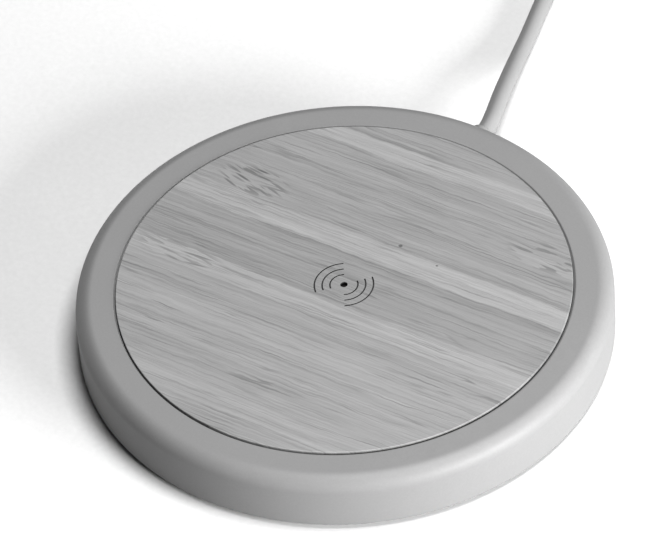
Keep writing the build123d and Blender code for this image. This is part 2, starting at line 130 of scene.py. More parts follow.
class PadStageSettings(bpy.types.PropertyGroup):
    floor_colour: colour_setting("Floor colour", "Plain floor under the pad", (0.58, 0.58, 0.58))
    key_power: bpy.props.FloatProperty(
        name="Side light", description="Power of the low soft light on the right", default=12.4,
        min=0.0, unit="POWER",
    )
    top_power: bpy.props.FloatProperty(
        name="Top light", description="Power of the softbox overhead", default=8.3, min=0.0,
        unit="POWER",
    )
    lens: bpy.props.FloatProperty(
        name="Lens", description="Focal length of the camera, in millimetres", default=304.42,
        min=1.0,
    )


# ---- Node helpers ---------------------------------------------------------------------

NOISE_LOW, NOISE_HIGH = 0.3, 0.7


def set_inputs(tree, node, inputs):
    """Links each input to a socket, or sets it to a value."""
    for key, value in inputs.items():
        if isinstance(value, bpy.types.NodeSocket):
            tree.links.new(value, node.inputs[key])
        else:
            node.inputs[key].default_value = value


def add_node(tree, kind, inputs=None, **settings):
    """A new node, with its settings, and its inputs linked or set."""
    made = tree.nodes.new(kind)
    for name, value in settings.items():
        setattr(made, name, value)
    set_inputs(tree, made, inputs or {})
    return made


def calc(tree, operation, *values, clamp=False):
    """The result of a Math node."""
    inputs = dict(enumerate(values))
    made = add_node(tree, "ShaderNodeMath", inputs, operation=operation, use_clamp=clamp)
    return made.outputs[0]


def plus(tree, first, second):
    return calc(tree, "ADD", first, second)


def minus(tree, first, second):
    return calc(tree, "SUBTRACT", first, second)


def times(tree, first, second):
    return calc(tree, "MULTIPLY", first, second)


def larger(tree, first, second):
    return calc(tree, "MAXIMUM", first, second)


def squared(tree, value):
    return calc(tree, "POWER", value, 2.0)


def remap(tree, value, low, high, to_low=0.0, to_high=1.0, smooth=False):
    """A value moved from one range to another and kept inside it."""
    made = add_node(
        tree, "ShaderNodeMapRange",
        {"Value": value, "From Min": low, "From Max": high, "To Min": to_low, "To Max": to_high},
        interpolation_type="SMOOTHSTEP" if smooth else "LINEAR",
    )
    return made.outputs["Result"]


def spread(tree, value, to_low, to_high):
    """Noise, most of which lies between its usual low and high, stretched to a range."""
    return remap(tree, value, NOISE_LOW, NOISE_HIGH, to_low, to_high)


def noise(tree, vector, scale, detail=2.0, roughness=0.5):
    made = add_node(
        tree, "ShaderNodeTexNoise",
        {"Vector": vector, "Scale": scale, "Detail": detail, "Roughness": roughness},
    )
    return made.outputs["Fac"]


def join_xyz(tree, x, y, z=0.0):
    return add_node(tree, "ShaderNodeCombineXYZ", {"X": x, "Y": y, "Z": z}).outputs["Vector"]


def tint(tree, colour, factor):
    """A colour made darker or lighter by a factor."""
    made = add_node(
        tree, "ShaderNodeVectorMath", {0: colour, "Scale": factor}, operation="SCALE"
    )
    return made.outputs["Vector"]


def mix_colours(tree, factor, first, second):
    made = add_node(tree, "ShaderNodeMix", {0: factor, 6: first, 7: second}, data_type="RGBA")
    return made.outputs[2]


def shader_group(name, inputs, outputs, fill):
    """A shader node group; fill(tree, sockets) returns the value of each output."""
    tree = bpy.data.node_groups.new(name, "ShaderNodeTree")
    for label, default in inputs.items():
        kind = "NodeSocketVector" if default is None else "NodeSocketFloat"
        socket = tree.interface.new_socket(label, in_out="INPUT", socket_type=kind)
        if default is not None:
            socket.default_value = default
    for label in outputs:
        tree.interface.new_socket(label, in_out="OUTPUT", socket_type="NodeSocketFloat")
    source = tree.nodes.new("NodeGroupInput")
    sink = tree.nodes.new("NodeGroupOutput")
    for label, value in zip(outputs, fill(tree, source.outputs)):
        tree.links.new(value, sink.inputs[label])
    return tree


def use_group(tree, name, inputs):
    """The outputs of a shared shader group placed in the tree."""
    return add_node(tree, "ShaderNodeGroup", inputs, node_tree=group(name)).outputs


# ---- Shader groups that several finishes share ----------------------------------------

def fill_moulded_grain(tree, given):
    """Spark-eroded mould texture: fine pits over a slow waviness."""
    pits = noise(tree, given["Vector"], given["Grain Scale"], 3.0, 0.6)
    waves = noise(tree, given["Vector"], 90.0, 2.0, 0.5)
    height = plus(tree, times(tree, pits, 0.8), times(tree, waves, 0.2))
    tone = spread(tree, pits, 0.97, 1.03)
    rough = spread(tree, waves, -0.03, 0.03)
    return tone, rough, height


def fill_handling(tree, given):
    """Broad faint marks that hands leave: slightly duller and paler patches."""
    patches = noise(tree, given["Vector"], 38.0, 4.0, 0.62)
    fine = noise(tree, given["Vector"], 420.0, 3.0, 0.7)
    mask = times(tree, remap(tree, patches, 0.45, 0.72), remap(tree, fine, 0.35, 0.7))
    return (times(tree, mask, given["Amount"]),)


def fill_edge_wear(tree, given):
    """Slightly paler, smoother corners, found from how pointed the surface is."""
    geometry = tree.nodes.new("ShaderNodeNewGeometry")
    pointed = remap(tree, geometry.outputs["Pointiness"], 0.52, 0.6)
    breakup = remap(tree, noise(tree, given["Vector"], 900.0, 3.0), 0.35, 0.65)
    return (times(tree, times(tree, pointed, breakup), given["Amount"]),)


def fill_grain_line(tree, given):
    """One dark grain line: narrow across the wood, fading in and out along it."""
    offset = minus(tree, given["Across"], given["Place"])
    distance = calc(tree, "ABSOLUTE", offset)
    across = remap(tree, calc(tree, "DIVIDE", distance, given["Width"]), 1.0, 0.0, smooth=True)
    past_start = minus(tree, given["Along"], given["Start"])
    before_end = minus(tree, given["End"], given["Along"])
    fade_in = remap(tree, past_start, -1.0, 5.0, smooth=True)
    fade_out = remap(tree, before_end, -1.0, 5.0, smooth=True)
    window = times(tree, fade_in, fade_out)
    mask = times(tree, times(tree, across, window), given["Strength"])
    return (mask,)


def fill_knuckle(tree, given):
    """Short slanted strokes round a bamboo knuckle, inside an oval patch."""
    x = minus(tree, given["Along"], given["Centre Along"])
    y = minus(tree, given["Across"], given["Centre Across"])
    across_share = calc(tree, "DIVIDE", y, given["Half Width"])
    along_share = calc(tree, "DIVIDE", x, given["Half Length"])
    along_squared = squared(tree, calc(tree, "ABSOLUTE", along_share))
    across_squared = squared(tree, calc(tree, "ABSOLUTE", across_share))
    patch = remap(tree, plus(tree, along_squared, across_squared), 1.0, 0.35, smooth=True)
    slanted = plus(tree, y, times(tree, x, given["Slant"]))
    strokes = remap(tree, fibre(tree, x, slanted, "knuckle"), 0.53, 0.585, smooth=True)
    return times(tree, patch, strokes), patch


def fill_strands(tree, given):
    """Twisted strands: slanted ridges that run along a wire."""
    turn = plus(tree, given["Around"], times(tree, given["Along"], given["Twist"]))
    across_strand = calc(tree, "FRACT", times(tree, turn, given["Strands"]))
    return (calc(tree, "SINE", times(tree, across_strand, math.pi)),)


GROUPS = {
    "moulded_grain": (
        {"Vector": None, "Grain Scale": 2600.0}, ("Tone", "Roughness", "Height"),
        fill_moulded_grain,
    ),
    "handling": ({"Vector": None, "Amount": 1.0}, ("Mask",), fill_handling),
    "edge_wear": ({"Vector": None, "Amount": 1.0}, ("Mask",), fill_edge_wear),
    "grain_line": (
        {
            "Along": 0.0, "Across": 0.0, "Place": 0.0, "Width": 0.4,
            "Start": -50.0, "End": 50.0, "Strength": 1.0,
        },
        ("Mask",), fill_grain_line,
    ),
    "knuckle": (
        {
            "Along": 0.0, "Across": 0.0, "Centre Along": 0.0, "Centre Across": 0.0,
            "Half Length": 6.0, "Half Width": 3.0, "Slant": 0.2,
        },
        ("Mask", "Patch"), fill_knuckle,
    ),
    "strands": (
        {"Along": 0.0, "Around": 0.0, "Twist": 1.0, "Strands": 6.0}, ("Height",), fill_strands,
    ),
}


def group(name):
    """The shared shader group of that name, made when it is first used."""
    return bpy.data.node_groups.get(name) or shader_group(name, *GROUPS[name])


# ---- Finishes -------------------------------------------------------------------------

HANDLING, METAL_HANDLING = 0.05, 0.12
MOULDED_SPECULAR, WOOD_SPECULAR = 0.2, 0.35
COPPER = (0.62, 0.26, 0.11)
WEAVE_ROWS, WEAVE_LOOPS = 1400.0, 1100.0


def new_material(name):
    material = bpy.data.materials.new(name)
    material.use_nodes = True
    tree = material.node_tree
    shader = tree.nodes["Principled BSDF"]
    place = tree.nodes.new("ShaderNodeTexCoord").outputs["Object"]
    return material, tree, shader, place


def coat(tree, shader, inputs, height, depth):
    """Sets the shader's inputs, and its bump from a height and a depth in metres."""
    set_inputs(tree, shader, inputs)
    bump = add_node(tree, "ShaderNodeBump", {"Height": height, "Distance": depth})
    tree.links.new(bump.outputs["Normal"], shader.inputs["Normal"])


def moulded(name, colour, roughness, grain_scale, depth, wear, sheen=0.0):
    """Moulded plastic or rubber: fine mould grain, faint handling marks, paler corners."""
    material, tree, shader, place = new_material(name)
    grain = use_group(tree, "moulded_grain", {"Vector": place, "Grain Scale": grain_scale})
    marks = use_group(tree, "handling", {"Vector": place, "Amount": HANDLING})["Mask"]
    edges = use_group(tree, "edge_wear", {"Vector": place, "Amount": wear})["Mask"]
    paler = plus(tree, marks, times(tree, edges, 0.3))
    base = tint(tree, tuple(colour), plus(tree, grain["Tone"], paler))
    duller = plus(tree, grain["Roughness"], minus(tree, marks, times(tree, edges, 0.15)))
    coat(tree, shader, {
        "Base Color": base, "Roughness": calc(tree, "ADD", duller, roughness, clamp=True),
        "Sheen Weight": sheen, "Specular IOR Level": MOULDED_SPECULAR,
    }, grain["Height"], depth)
    return material


def metal(name, colour, roughness, brushed=(1.0, 1.0, 1.0)):
    """Plated metal with a fine drawn or rolled grain along one axis."""
    material, tree, shader, place = new_material(name)
    stretched = add_node(tree, "ShaderNodeMapping", {"Vector": place, "Scale": brushed})
    lines = noise(tree, stretched.outputs["Vector"], 1800.0, 3.0, 0.6)
    marks = use_group(tree, "handling", {"Vector": place, "Amount": METAL_HANDLING})["Mask"]
    base = tint(tree, tuple(colour), minus(tree, spread(tree, lines, 0.94, 1.04), marks))
    rough = plus(tree, spread(tree, lines, roughness - 0.05, roughness + 0.07), marks)
    coat(tree, shader, {"Base Color": base, "Roughness": rough, "Metallic": 1.0}, lines, 0.000004)
    return material


# Laminated strips across the wood: lower side in millimetres, and share of the light tone
STRIPS = [
    (-43.0, 0.36), (-39.4, 0.52), (-33.0, 0.38), (-22.2, 0.54), (-15.9, 0.36), (-9.6, 0.64),
    (-4.6, 0.12), (7.3, 0.74), (12.6, 0.26), (32.4, 0.8), (36.6, 0.28),
]

# Dark grain lines: place across, half width, start, end (millimetres), strength
GRAIN_LINES = [
    (36.9, 0.45, -24, 10, 0.9), (32.8, 0.35, 2, 30, 0.5), (30.8, 0.5, -14, 31, 0.55),
    (32.6, 0.6, -26, -16, 0.6), (28.7, 0.3, -18, 22, 0.4), (24.4, 0.45, -22, -2, 0.75),
    (23.9, 0.4, 0, 9, 0.6), (24.6, 0.4, 13, 37, 0.75), (18.7, 0.35, -30, 14, 0.4),
    (16.4, 0.5, -12, 40, 0.4), (14.7, 0.4, -20, 8, 0.45), (13.2, 0.35, 10, 42, 0.55),
    (7.3, 0.6, -26, 46, 1.0), (6.6, 0.9, 4, 46, 0.6), (4.6, 0.3, -42, -8, 0.35),
    (2.0, 0.4, -38, 44, 0.6), (0.4, 0.3, -30, 0, 0.4), (-4.5, 0.45, -41, 6, 0.8),
    (-9.6, 0.35, -30, 30, 0.45), (-15.9, 0.4, -39, 4, 0.7), (-22.2, 0.55, -35, 20, 0.8),
    (-27.2, 0.4, -32, 12, 0.5), (-36.8, 0.4, -16, 18, 0.5), (-39.2, 0.45, -14, 16, 0.6),
]

# Bamboo knuckles: centre along and across, half length, half width, slant, strength
KNUCKLES = [
    (-29.0, 16.2, 8.5, 4.2, 0.3, 1.2), (-32.0, -6.2, 10.5, 3.1, 0.14, 0.9),
    (30.5, 23.2, 9.5, 4.0, 0.08, 1.1),
]

# Short dark strokes in the knuckles: start along and across, end along and across, strength
STROKES = [
    (-32.8, 18.95, -27.6, 18.3, 1.3), (-30.6, 19.15, -27.0, 18.95, 1.7),
    (-30.2, 17.8, -25.0, 17.4, 1.4), (-33.5, 16.55, -29.1, 15.5, 1.7),
    (-34.0, 15.75, -30.1, 15.0, 1.1), (-34.9, 14.45, -30.7, 13.1, 1.4),
    (-28.6, 15.6, -21.0, 16.2, 1.0), (-30.0, 14.5, -25.9, 14.3, 1.1),
    (-32.2, -6.2, -24.0, -5.75, 1.3), (-34.3, -8.2, -30.0, -8.6, 1.2),
    (-31.0, -8.6, -24.0, -7.6, 1.2), (-37.0, -6.85, -30.4, -7.3, 0.9),
]

# Dark specks: along, across, radius
SPECKS = [(4.3, 13.6, 0.5), (12.9, 12.1, 0.28)]

# Noise drawn out along the wood: frequency along and across per millimetre, seed, detail, roughness
FIBRES = {
    "drift": (0.05, 0.11, 0.0, 2.0, 0.5),
    "ripple": (0.3, 0.5, 7.0, 2.0, 0.5),
    "broad": (0.01, 0.42, 1.0, 4.0, 0.6),
    "long": (0.03, 1.3, 2.0, 5.0, 0.66),
    "fine": (0.1, 3.4, 3.0, 3.0, 0.6),
    "pores": (0.045, 2.4, 4.0, 2.0, 0.6),
    "pore_zone": (0.02, 0.13, 5.0, 2.0, 0.6),
    "breakup": (0.09, 0.9, 6.0, 3.0, 0.6),
    "hairline": (0.013, 0.6, 8.0, 1.0, 0.4),
    "hairline_zone": (0.05, 0.4, 9.0, 2.0, 0.6),
    "fine_hairline": (0.018, 1.0, 12.0, 1.0, 0.4),
    "fine_hairline_zone": (0.05, 0.4, 13.0, 2.0, 0.6),
    "knuckle": (0.17, 1.15, 3.0, 1.0, 0.4),
}

# Millimetres
STROKE_HALF_WIDTH = 0.34
STROKE_RUN_OUT = 0.4
ENGRAVING_REACH = 6.8
STRIP_SPAN = 43.0

# Shares of the wood's own tone
KNUCKLE_PALENESS = 0.07
PORE_DEPTH = 0.17
SPECK_DEPTH = 0.6
# Painted shade: the disc's edge darkened where it sits in the gap round it
GAP_SHADE_TONE = 0.7
FINE_FIBRE_TONES = (-0.09, 0.08)


def fibre(tree, along, across, name):
    """One of the noises drawn out along the wood."""
    along_scale, across_scale, seed, detail, roughness = FIBRES[name]
    vector = join_xyz(
        tree, times(tree, along, along_scale), times(tree, across, across_scale), seed
    )
    return noise(tree, vector, 1.0, detail, roughness)


def strip_tones(tree, across):
    """Share of the light tone by strip, with a crisp glue line between strips."""
    ramp = tree.nodes.new("ShaderNodeValToRGB")
    ramp.color_ramp.interpolation = "CONSTANT"
    elements = ramp.color_ramp.elements
    while len(elements) < len(STRIPS):
        elements.new(1.0)
    for element, (low, share) in zip(elements, STRIPS):
        element.position = (low + STRIP_SPAN) / (2 * STRIP_SPAN)
        element.color = (share, share, share, 1.0)
    tree.links.new(remap(tree, across, -STRIP_SPAN, STRIP_SPAN), ramp.inputs["Fac"])
    return ramp.outputs["Color"]


def hairlines(tree, along, across, name, half_width, strength):
    """Fine dark lines that wander along the wood, each fading in and out."""
    contour = calc(tree, "ABSOLUTE", minus(tree, fibre(tree, along, across, name), 0.5))
    line = remap(tree, contour, half_width, 0.15 * half_width, 0.0, strength, smooth=True)
    zone = remap(tree, fibre(tree, along, across, f"{name}_zone"), 0.42, 0.58, 0.1, 1.0)
    return times(tree, line, zone)


def dark_grain(tree, along, across):
    """The dark grain lines, broken up along their length."""
    breakup = remap(tree, fibre(tree, along, across, "breakup"), 0.3, 0.62, 0.45, 1.0)
    lines = 0.0
    for place, width, start, end, strength in GRAIN_LINES:
        line = use_group(tree, "grain_line", {
            "Along": along, "Across": across, "Place": place, "Width": width,
            "Start": float(start), "End": float(end), "Strength": strength,
        })["Mask"]
        lines = larger(tree, lines, line)
    return times(tree, lines, breakup)


def knuckle_marks(tree, along, across):
    """Dark strokes of the knuckles, and the pale patches that they lie in."""
    dark = pale = 0.0
    for centre_along, centre_across, half_length, half_width, slant, strength in KNUCKLES:
        patch = use_group(tree, "knuckle", {
            "Along": along, "Across": across,
            "Centre Along": centre_along, "Centre Across": centre_across,
            "Half Length": half_length, "Half Width": half_width, "Slant": slant,
        })
        dark = larger(tree, dark, times(tree, patch["Mask"], strength))
        pale = larger(tree, pale, times(tree, patch["Patch"], KNUCKLE_PALENESS))

    flat = join_xyz(tree, along, across)
    for start, start_across, end, end_across, strength in STROKES:
        length, rise = end - start, end_across - start_across
        stretched = add_node(tree, "ShaderNodeMapping", {
            "Vector": flat, "Location": (start + length / 2, start_across + rise / 2, 0.0),
            "Rotation": (0.0, 0.0, math.atan2(rise, length)),
            "Scale": (length / 2 + STROKE_RUN_OUT, STROKE_HALF_WIDTH, 1.0),
        }, vector_type="TEXTURE")
        distance = add_node(
            tree, "ShaderNodeVectorMath", {0: stretched.outputs["Vector"]}, operation="LENGTH"
        )
        stroke = remap(tree, distance.outputs["Value"], 1.0, 0.3, 0.0, strength, smooth=True)
        dark = larger(tree, dark, stroke)
    return dark, pale


def dark_specks(tree, along, across):
    specks = 0.0
    for speck_along, speck_across, radius in SPECKS:
        along_squared = squared(tree, minus(tree, along, speck_along))
        across_squared = squared(tree, minus(tree, across, speck_across))
        distance = calc(tree, "SQRT", plus(tree, along_squared, across_squared))
        specks = larger(tree, specks, remap(tree, distance, radius, 0.5 * radius))
    return specks


def engraving_and_gap_shade(tree, along, across, height, factor, engraving_tone):
    """The tone factor: darker in the engraved mark, and darker on the disc's edge as painted shade
    in the gap round the disc.
    """
    face, edge = inlay_top * 1000, inlay_radius * 1000
    along_squared, across_squared = squared(tree, along), squared(tree, across)
    from_axis = calc(tree, "SQRT", plus(tree, along_squared, across_squared))
    inside_mark = remap(tree, from_axis, ENGRAVING_REACH, ENGRAVING_REACH - 0.2)
    below_face = remap(tree, height, face - 0.03, face - 0.09)
    engraved = times(tree, inside_mark, below_face)
    factor = times(tree, factor, remap(tree, engraved, 0.0, 1.0, 1.0, engraving_tone))
    # Painted shade: the outer edge of the disc darkened where it sits in the gap round it.
    painted_gap_shade = remap(tree, from_axis, edge - 0.14, edge - 0.02)
    return times(tree, factor, remap(tree, painted_gap_shade, 0.0, 1.0, 1.0, GAP_SHADE_TONE))


def bamboo(settings):
    """Laminated bamboo: strips of differing tone, fibres, dark lines, knuckles, engraved mark, and
    painted shade on the disc's edge.
    """
    material, tree, shader, place = new_material("bamboo")
    in_mm = add_node(tree, "ShaderNodeVectorMath", {0: place, "Scale": 1000.0}, operation="SCALE")
    split = add_node(tree, "ShaderNodeSeparateXYZ", {0: in_mm.outputs["Vector"]})
    along, straight, height = split.outputs["X"], split.outputs["Y"], split.outputs["Z"]

    drift = fibre(tree, along, straight, "drift")
    ripple = fibre(tree, along, straight, "ripple")
    drift_shift = remap(tree, drift, 0.25, 0.75, -0.22, 0.22)
    ripple_shift = remap(tree, ripple, 0.25, 0.75, -0.16, 0.16)
    across = plus(tree, straight, plus(tree, drift_shift, ripple_shift))

    broad = spread(tree, fibre(tree, along, across, "broad"), -0.11, 0.11)
    long_fibres = spread(tree, fibre(tree, along, across, "long"), -0.12, 0.1)
    fine_fibres = spread(tree, fibre(tree, along, across, "fine"), *FINE_FIBRE_TONES)
    pores = remap(tree, fibre(tree, along, across, "pores"), 0.57, 0.66, smooth=True)
    pore_zone = remap(tree, fibre(tree, along, across, "pore_zone"), 0.42, 0.62, 0.15, 1.0)
    pore_mask = times(tree, pores, pore_zone)
    hairs = larger(
        tree, hairlines(tree, along, across, "hairline", 0.02, 0.36),
        hairlines(tree, along, across, "fine_hairline", 0.03, 0.25),
    )
    lines = dark_grain(tree, along, across)
    knuckles, pale = knuckle_marks(tree, along, straight)
    specks = dark_specks(tree, along, straight)

    variation = plus(tree, plus(tree, broad, pale), plus(tree, long_fibres, fine_fibres))
    dark = times(tree, larger(tree, lines, knuckles), settings.streak_depth)
    dark = larger(tree, dark, times(tree, pore_mask, PORE_DEPTH))
    dark = larger(tree, dark, hairs)
    dark = larger(tree, dark, times(tree, specks, SPECK_DEPTH))
    factor = times(tree, plus(tree, variation, 1.0), minus(tree, 1.0, dark))
    # Darkens the engraved mark, and paints shade on the disc's edge in the gap round it.
    factor = engraving_and_gap_shade(tree, along, straight, height, factor, settings.engraving_tone)

    ragged = plus(tree, across, remap(tree, fine_fibres, *FINE_FIBRE_TONES, -0.35, 0.35))
    strips = strip_tones(tree, ragged)
    light, shade = (*settings.light_wood, 1.0), (*settings.dark_wood, 1.0)
    base = tint(tree, mix_colours(tree, strips, shade, light), factor)
    rough = plus(tree, remap(tree, variation, -0.1, 0.1, 0.6, 0.5), times(tree, dark, 0.5))
    relief = minus(tree, variation, times(tree, dark, 0.6))
    inputs = {"Base Color": base, "Roughness": rough, "Specular IOR Level": WOOD_SPECULAR}
    coat(tree, shader, inputs, relief, 0.00012)
    return material


def strap_weave(settings):
    """Hook-and-loop strap: fine looped rows along and across, with a fuzzy sheen, and painted shade
    in the weave's hollows.
    """
    material, tree, shader, _ = new_material("tie_strap")
    uv = tree.nodes.new("ShaderNodeUVMap").outputs["UV"]
    split = add_node(tree, "ShaderNodeSeparateXYZ", {0: uv})
    rows = calc(tree, "SINE", times(tree, split.outputs["X"], 2 * math.pi * WEAVE_ROWS))
    loops = calc(tree, "SINE", times(tree, split.outputs["Y"], 2 * math.pi * WEAVE_LOOPS))
    weave = times(tree, rows, loops)
    fuzz = noise(tree, uv, 4200.0, 3.0, 0.7)
    height = plus(tree, times(tree, weave, 0.5), fuzz)
    # Partly painted shade: darker in the weave's hollows and lighter on its loops; the fuzz adds
    # random tone.
    tone = remap(tree, height, -0.1, 1.2, 0.65, 1.35)
    coat(tree, shader, {
        "Base Color": tint(tree, tuple(settings.strap_colour), tone),
        "Roughness": spread(tree, fuzz, 0.82, 0.95), "Sheen Weight": 0.4,
    }, height, 0.00006)
    return material


def litz_copper():
    """Enamelled copper strands twisted together, read from the winding's own attributes, with
    painted shade in the grooves between strands.
    """
    material, tree, shader, place = new_material("litz_copper")
    along = add_node(tree, "ShaderNodeAttribute", attribute_name="along").outputs["Fac"]
    around = add_node(tree, "ShaderNodeAttribute", attribute_name="around").outputs["Fac"]
    strands = use_group(tree, "strands", {
        "Along": along, "Around": around, "Twist": 220.0, "Strands": 7.0,
    })["Height"]
    spots = noise(tree, place, 700.0, 3.0, 0.6)
    # Painted shade in the grooves between strands, and a slight painted highlight on their crowns.
    painted_strand_shade = remap(tree, strands, 0.0, 1.0, 0.45, 1.1)
    coat(tree, shader, {
        "Base Color": tint(tree, COPPER, times(tree, painted_strand_shade, spread(tree, spots, 0.9, 1.08))),
        "Roughness": spread(tree, spots, 0.28, 0.4), "Metallic": 0.85,
    }, strands, 0.00008)
    return material


def board_laminate():
    """Green solder mask over a brick pattern of raised tracks."""
    material, tree, shader, place = new_material("board_laminate")
    tracks = add_node(
        tree, "ShaderNodeTexBrick",
        {"Vector": place, "Scale": 260.0, "Mortar Size": 0.035, "Mortar Smooth": 0.2, "Bias": 0.0},
    )
    raised = minus(tree, 1.0, tracks.outputs["Fac"])
    weave = noise(tree, place, 1500.0, 2.0)
    tone = plus(tree, remap(tree, raised, 0.0, 1.0, 0.75, 1.15), spread(tree, weave, -0.06, 0.06))
    coat(tree, shader, {
        "Base Color": tint(tree, (0.012, 0.085, 0.04), tone),
        "Roughness": spread(tree, weave, 0.22, 0.32),
    }, raised, 0.00003)
    return material


def chip_body():
    """Ceramic chip parts with tinned ends; the ends are marked by an attribute."""
    material, tree, shader, place = new_material("chip_parts")
    tinned = add_node(tree, "ShaderNodeAttribute", attribute_name="tinned").outputs["Fac"]
    specks = noise(tree, place, 5200.0, 3.0, 0.6)
    ceramic = tint(tree, (0.33, 0.22, 0.13), spread(tree, specks, 0.85, 1.12))
    tin = tint(tree, (0.7, 0.7, 0.71), spread(tree, specks, 0.9, 1.05))
    coat(tree, shader, {
        "Base Color": mix_colours(tree, tinned, ceramic, tin),
        "Metallic": times(tree, tinned, 0.95), "Roughness": spread(tree, specks, 0.35, 0.5),
    }, specks, 0.00001)
    return material


def clear_part(name, colour, roughness, transmission):
    """Clear or smoked moulded part with faint flow marks inside it."""
    material, tree, shader, place = new_material(name)
    flow = noise(tree, place, 350.0, 3.0, 0.6)
    coat(tree, shader, {
        "Base Color": tint(tree, tuple(colour), spread(tree, flow, 0.93, 1.05)),
        "Roughness": spread(tree, flow, roughness, roughness + 0.06),
        "Transmission Weight": transmission,
    }, flow, 0.000005)
    return material


# ---- Mesh helpers ---------------------------------------------------------------------

MERGE_DISTANCE = 1e-7


def link(name, data):
    made = bpy.data.objects.new(name, data)
    bpy.context.scene.collection.objects.link(made)
    return made


def mesh_from(name, points, faces=(), edges=()):
    mesh = bpy.data.meshes.new(name)
    mesh.from_pydata([tuple(point) for point in points], list(edges), list(faces))
    mesh.update()
    return mesh


def outward(mesh):
    """Merges doubles and turns a closed mesh so that its faces point out."""
    work = bmesh.new()
    work.from_mesh(mesh)
    bmesh.ops.remove_doubles(work, verts=work.verts, dist=MERGE_DISTANCE)
    bmesh.ops.dissolve_degenerate(work, edges=work.edges, dist=MERGE_DISTANCE)
    bmesh.ops.recalc_face_normals(work, faces=work.faces)
    if work.calc_volume(signed=True) < 0:
        bmesh.ops.reverse_faces(work, faces=work.faces)
    work.to_mesh(mesh)
    work.free()
    return mesh


def soften(mesh, sharp_degrees):
    """Smooth shading, kept crisp at corners sharper than the angle."""
    mesh.polygons.foreach_set("use_smooth", [True] * len(mesh.polygons))
    mesh.set_sharp_from_angle(angle=math.radians(sharp_degrees))
    mesh.update()


def arc(centre, radius, start, end, steps):
    """Points on a round corner of an outline, by angles in degrees."""
    angles = [math.radians(start + (end - start) * step / steps) for step in range(steps + 1)]
    return [(centre[0] + radius * math.cos(a), centre[1] + radius * math.sin(a)) for a in angles]


def mesh_of(work, name):
    """Turns an edit mesh into a plain one and frees it."""
    mesh = bpy.data.meshes.new(name)
    work.to_mesh(mesh)
    work.free()
    return mesh


def bar(radius, start, end, segments=48):
    """Closed round bar between two points, in one mesh."""
    start, end = Vector(start), Vector(end)
    work = bmesh.new()
    bmesh.ops.create_cone(
        work, cap_ends=True, segments=segments, radius1=radius, radius2=radius,
        depth=(end - start).length,
    )
    turn = (end - start).to_track_quat("Z", "Y").to_matrix().to_4x4()
    matrix = Matrix.Translation((start + end) / 2) @ turn
    bmesh.ops.transform(work, matrix=matrix, verts=work.verts)
    return mesh_of(work, "bar")


def block(low, high):
    """Closed rectangular block between two corners."""
    low, high = Vector(low), Vector(high)
    work = bmesh.new()
    bmesh.ops.create_cube(work, size=1.0)
    matrix = Matrix.Translation((low + high) / 2) @ Matrix.Diagonal((*(high - low), 1.0))
    bmesh.ops.transform(work, matrix=matrix, verts=work.verts)
    return mesh_of(work, "block")


def joined(meshes):
    """Several meshes as one."""
    work = bmesh.new()
    for mesh in meshes:
        work.from_mesh(mesh)
        bpy.data.meshes.remove(mesh)
    return mesh_of(work, "joined")


def baked(piece):
    """Turns the evaluated piece into a plain mesh and drops its modifiers."""
    graph = bpy.context.evaluated_depsgraph_get()
    graph.update()
    mesh = bpy.data.meshes.new_from_object(piece.evaluated_get(graph), depsgraph=graph)
    name = piece.data.name
    piece.modifiers.clear()
    piece.data = mesh
    mesh.name = name
    if not mesh.polygons:
        raise RuntimeError(f"{piece.name} came out empty")


def carve(piece, operation, tools):
    """Joins tools to the piece, or cuts them from it."""
    for index, tool_mesh in enumerate(tools):
        tool = link(f"tool_{index}", tool_mesh)
        step = piece.modifiers.new("carve", "BOOLEAN")
        step.operation = operation
        step.solver = "EXACT"
        step.object = tool
        baked(piece)
        bpy.data.objects.remove(tool)
        bpy.data.meshes.remove(tool_mesh)


def finish_piece(piece, material, replaced, sharp_degrees=None):
    """Gives a piece its finish and its body, and hides the CAD nodes that it stands for."""
    piece.data.materials.clear()
    piece.data.materials.append(material)
    if sharp_degrees is not None:
        soften(piece.data, sharp_degrees)
    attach(piece, BODY)
    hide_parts(*replaced)
    return piece


def dress(node, material):
    """Gives a carried CAD node its finish."""
    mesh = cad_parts[node].data
    mesh.materials.clear()
    mesh.materials.append(material)


# ---- Geometry Nodes trees ---------------------------------------------------------------

def geometry_tree(name, inputs):
    """An empty tree with a geometry input, the named inputs and a geometry output."""
    tree = bpy.data.node_groups.new(name, "GeometryNodeTree")
    tree.interface.new_socket("Geometry", in_out="INPUT", socket_type="NodeSocketGeometry")
    for label, kind in inputs.items():
        tree.interface.new_socket(label, in_out="INPUT", socket_type=kind)
    tree.interface.new_socket("Geometry", in_out="OUTPUT", socket_type="NodeSocketGeometry")
    return tree, tree.nodes.new("NodeGroupInput"), tree.nodes.new("NodeGroupOutput")


def end_tree(tree, source, sink, geometry):
    """Realize Instances and Set Material, as the last steps of a tree."""
    whole = add_node(tree, "GeometryNodeRealizeInstances", {"Geometry": geometry})
    coated = add_node(
        tree, "GeometryNodeSetMaterial",
        {"Geometry": whole.outputs["Geometry"], "Material": source.outputs["Material"]},
    )
    tree.links.new(coated.outputs["Geometry"], sink.inputs["Geometry"])


def run_tree(piece, name, values):
    """Adds a tree, built when first used, sets its inputs by identifier, and bakes the result."""
    tree = bpy.data.node_groups.get(name) or TREES[name]()
    step = piece.modifiers.new(tree.name, "NODES")
    step.node_group = tree
    for item in tree.interface.items_tree:
        if item.item_type == "SOCKET" and item.in_out == "INPUT" and item.name in values:
            step[item.identifier] = values[item.name]
    baked(piece)


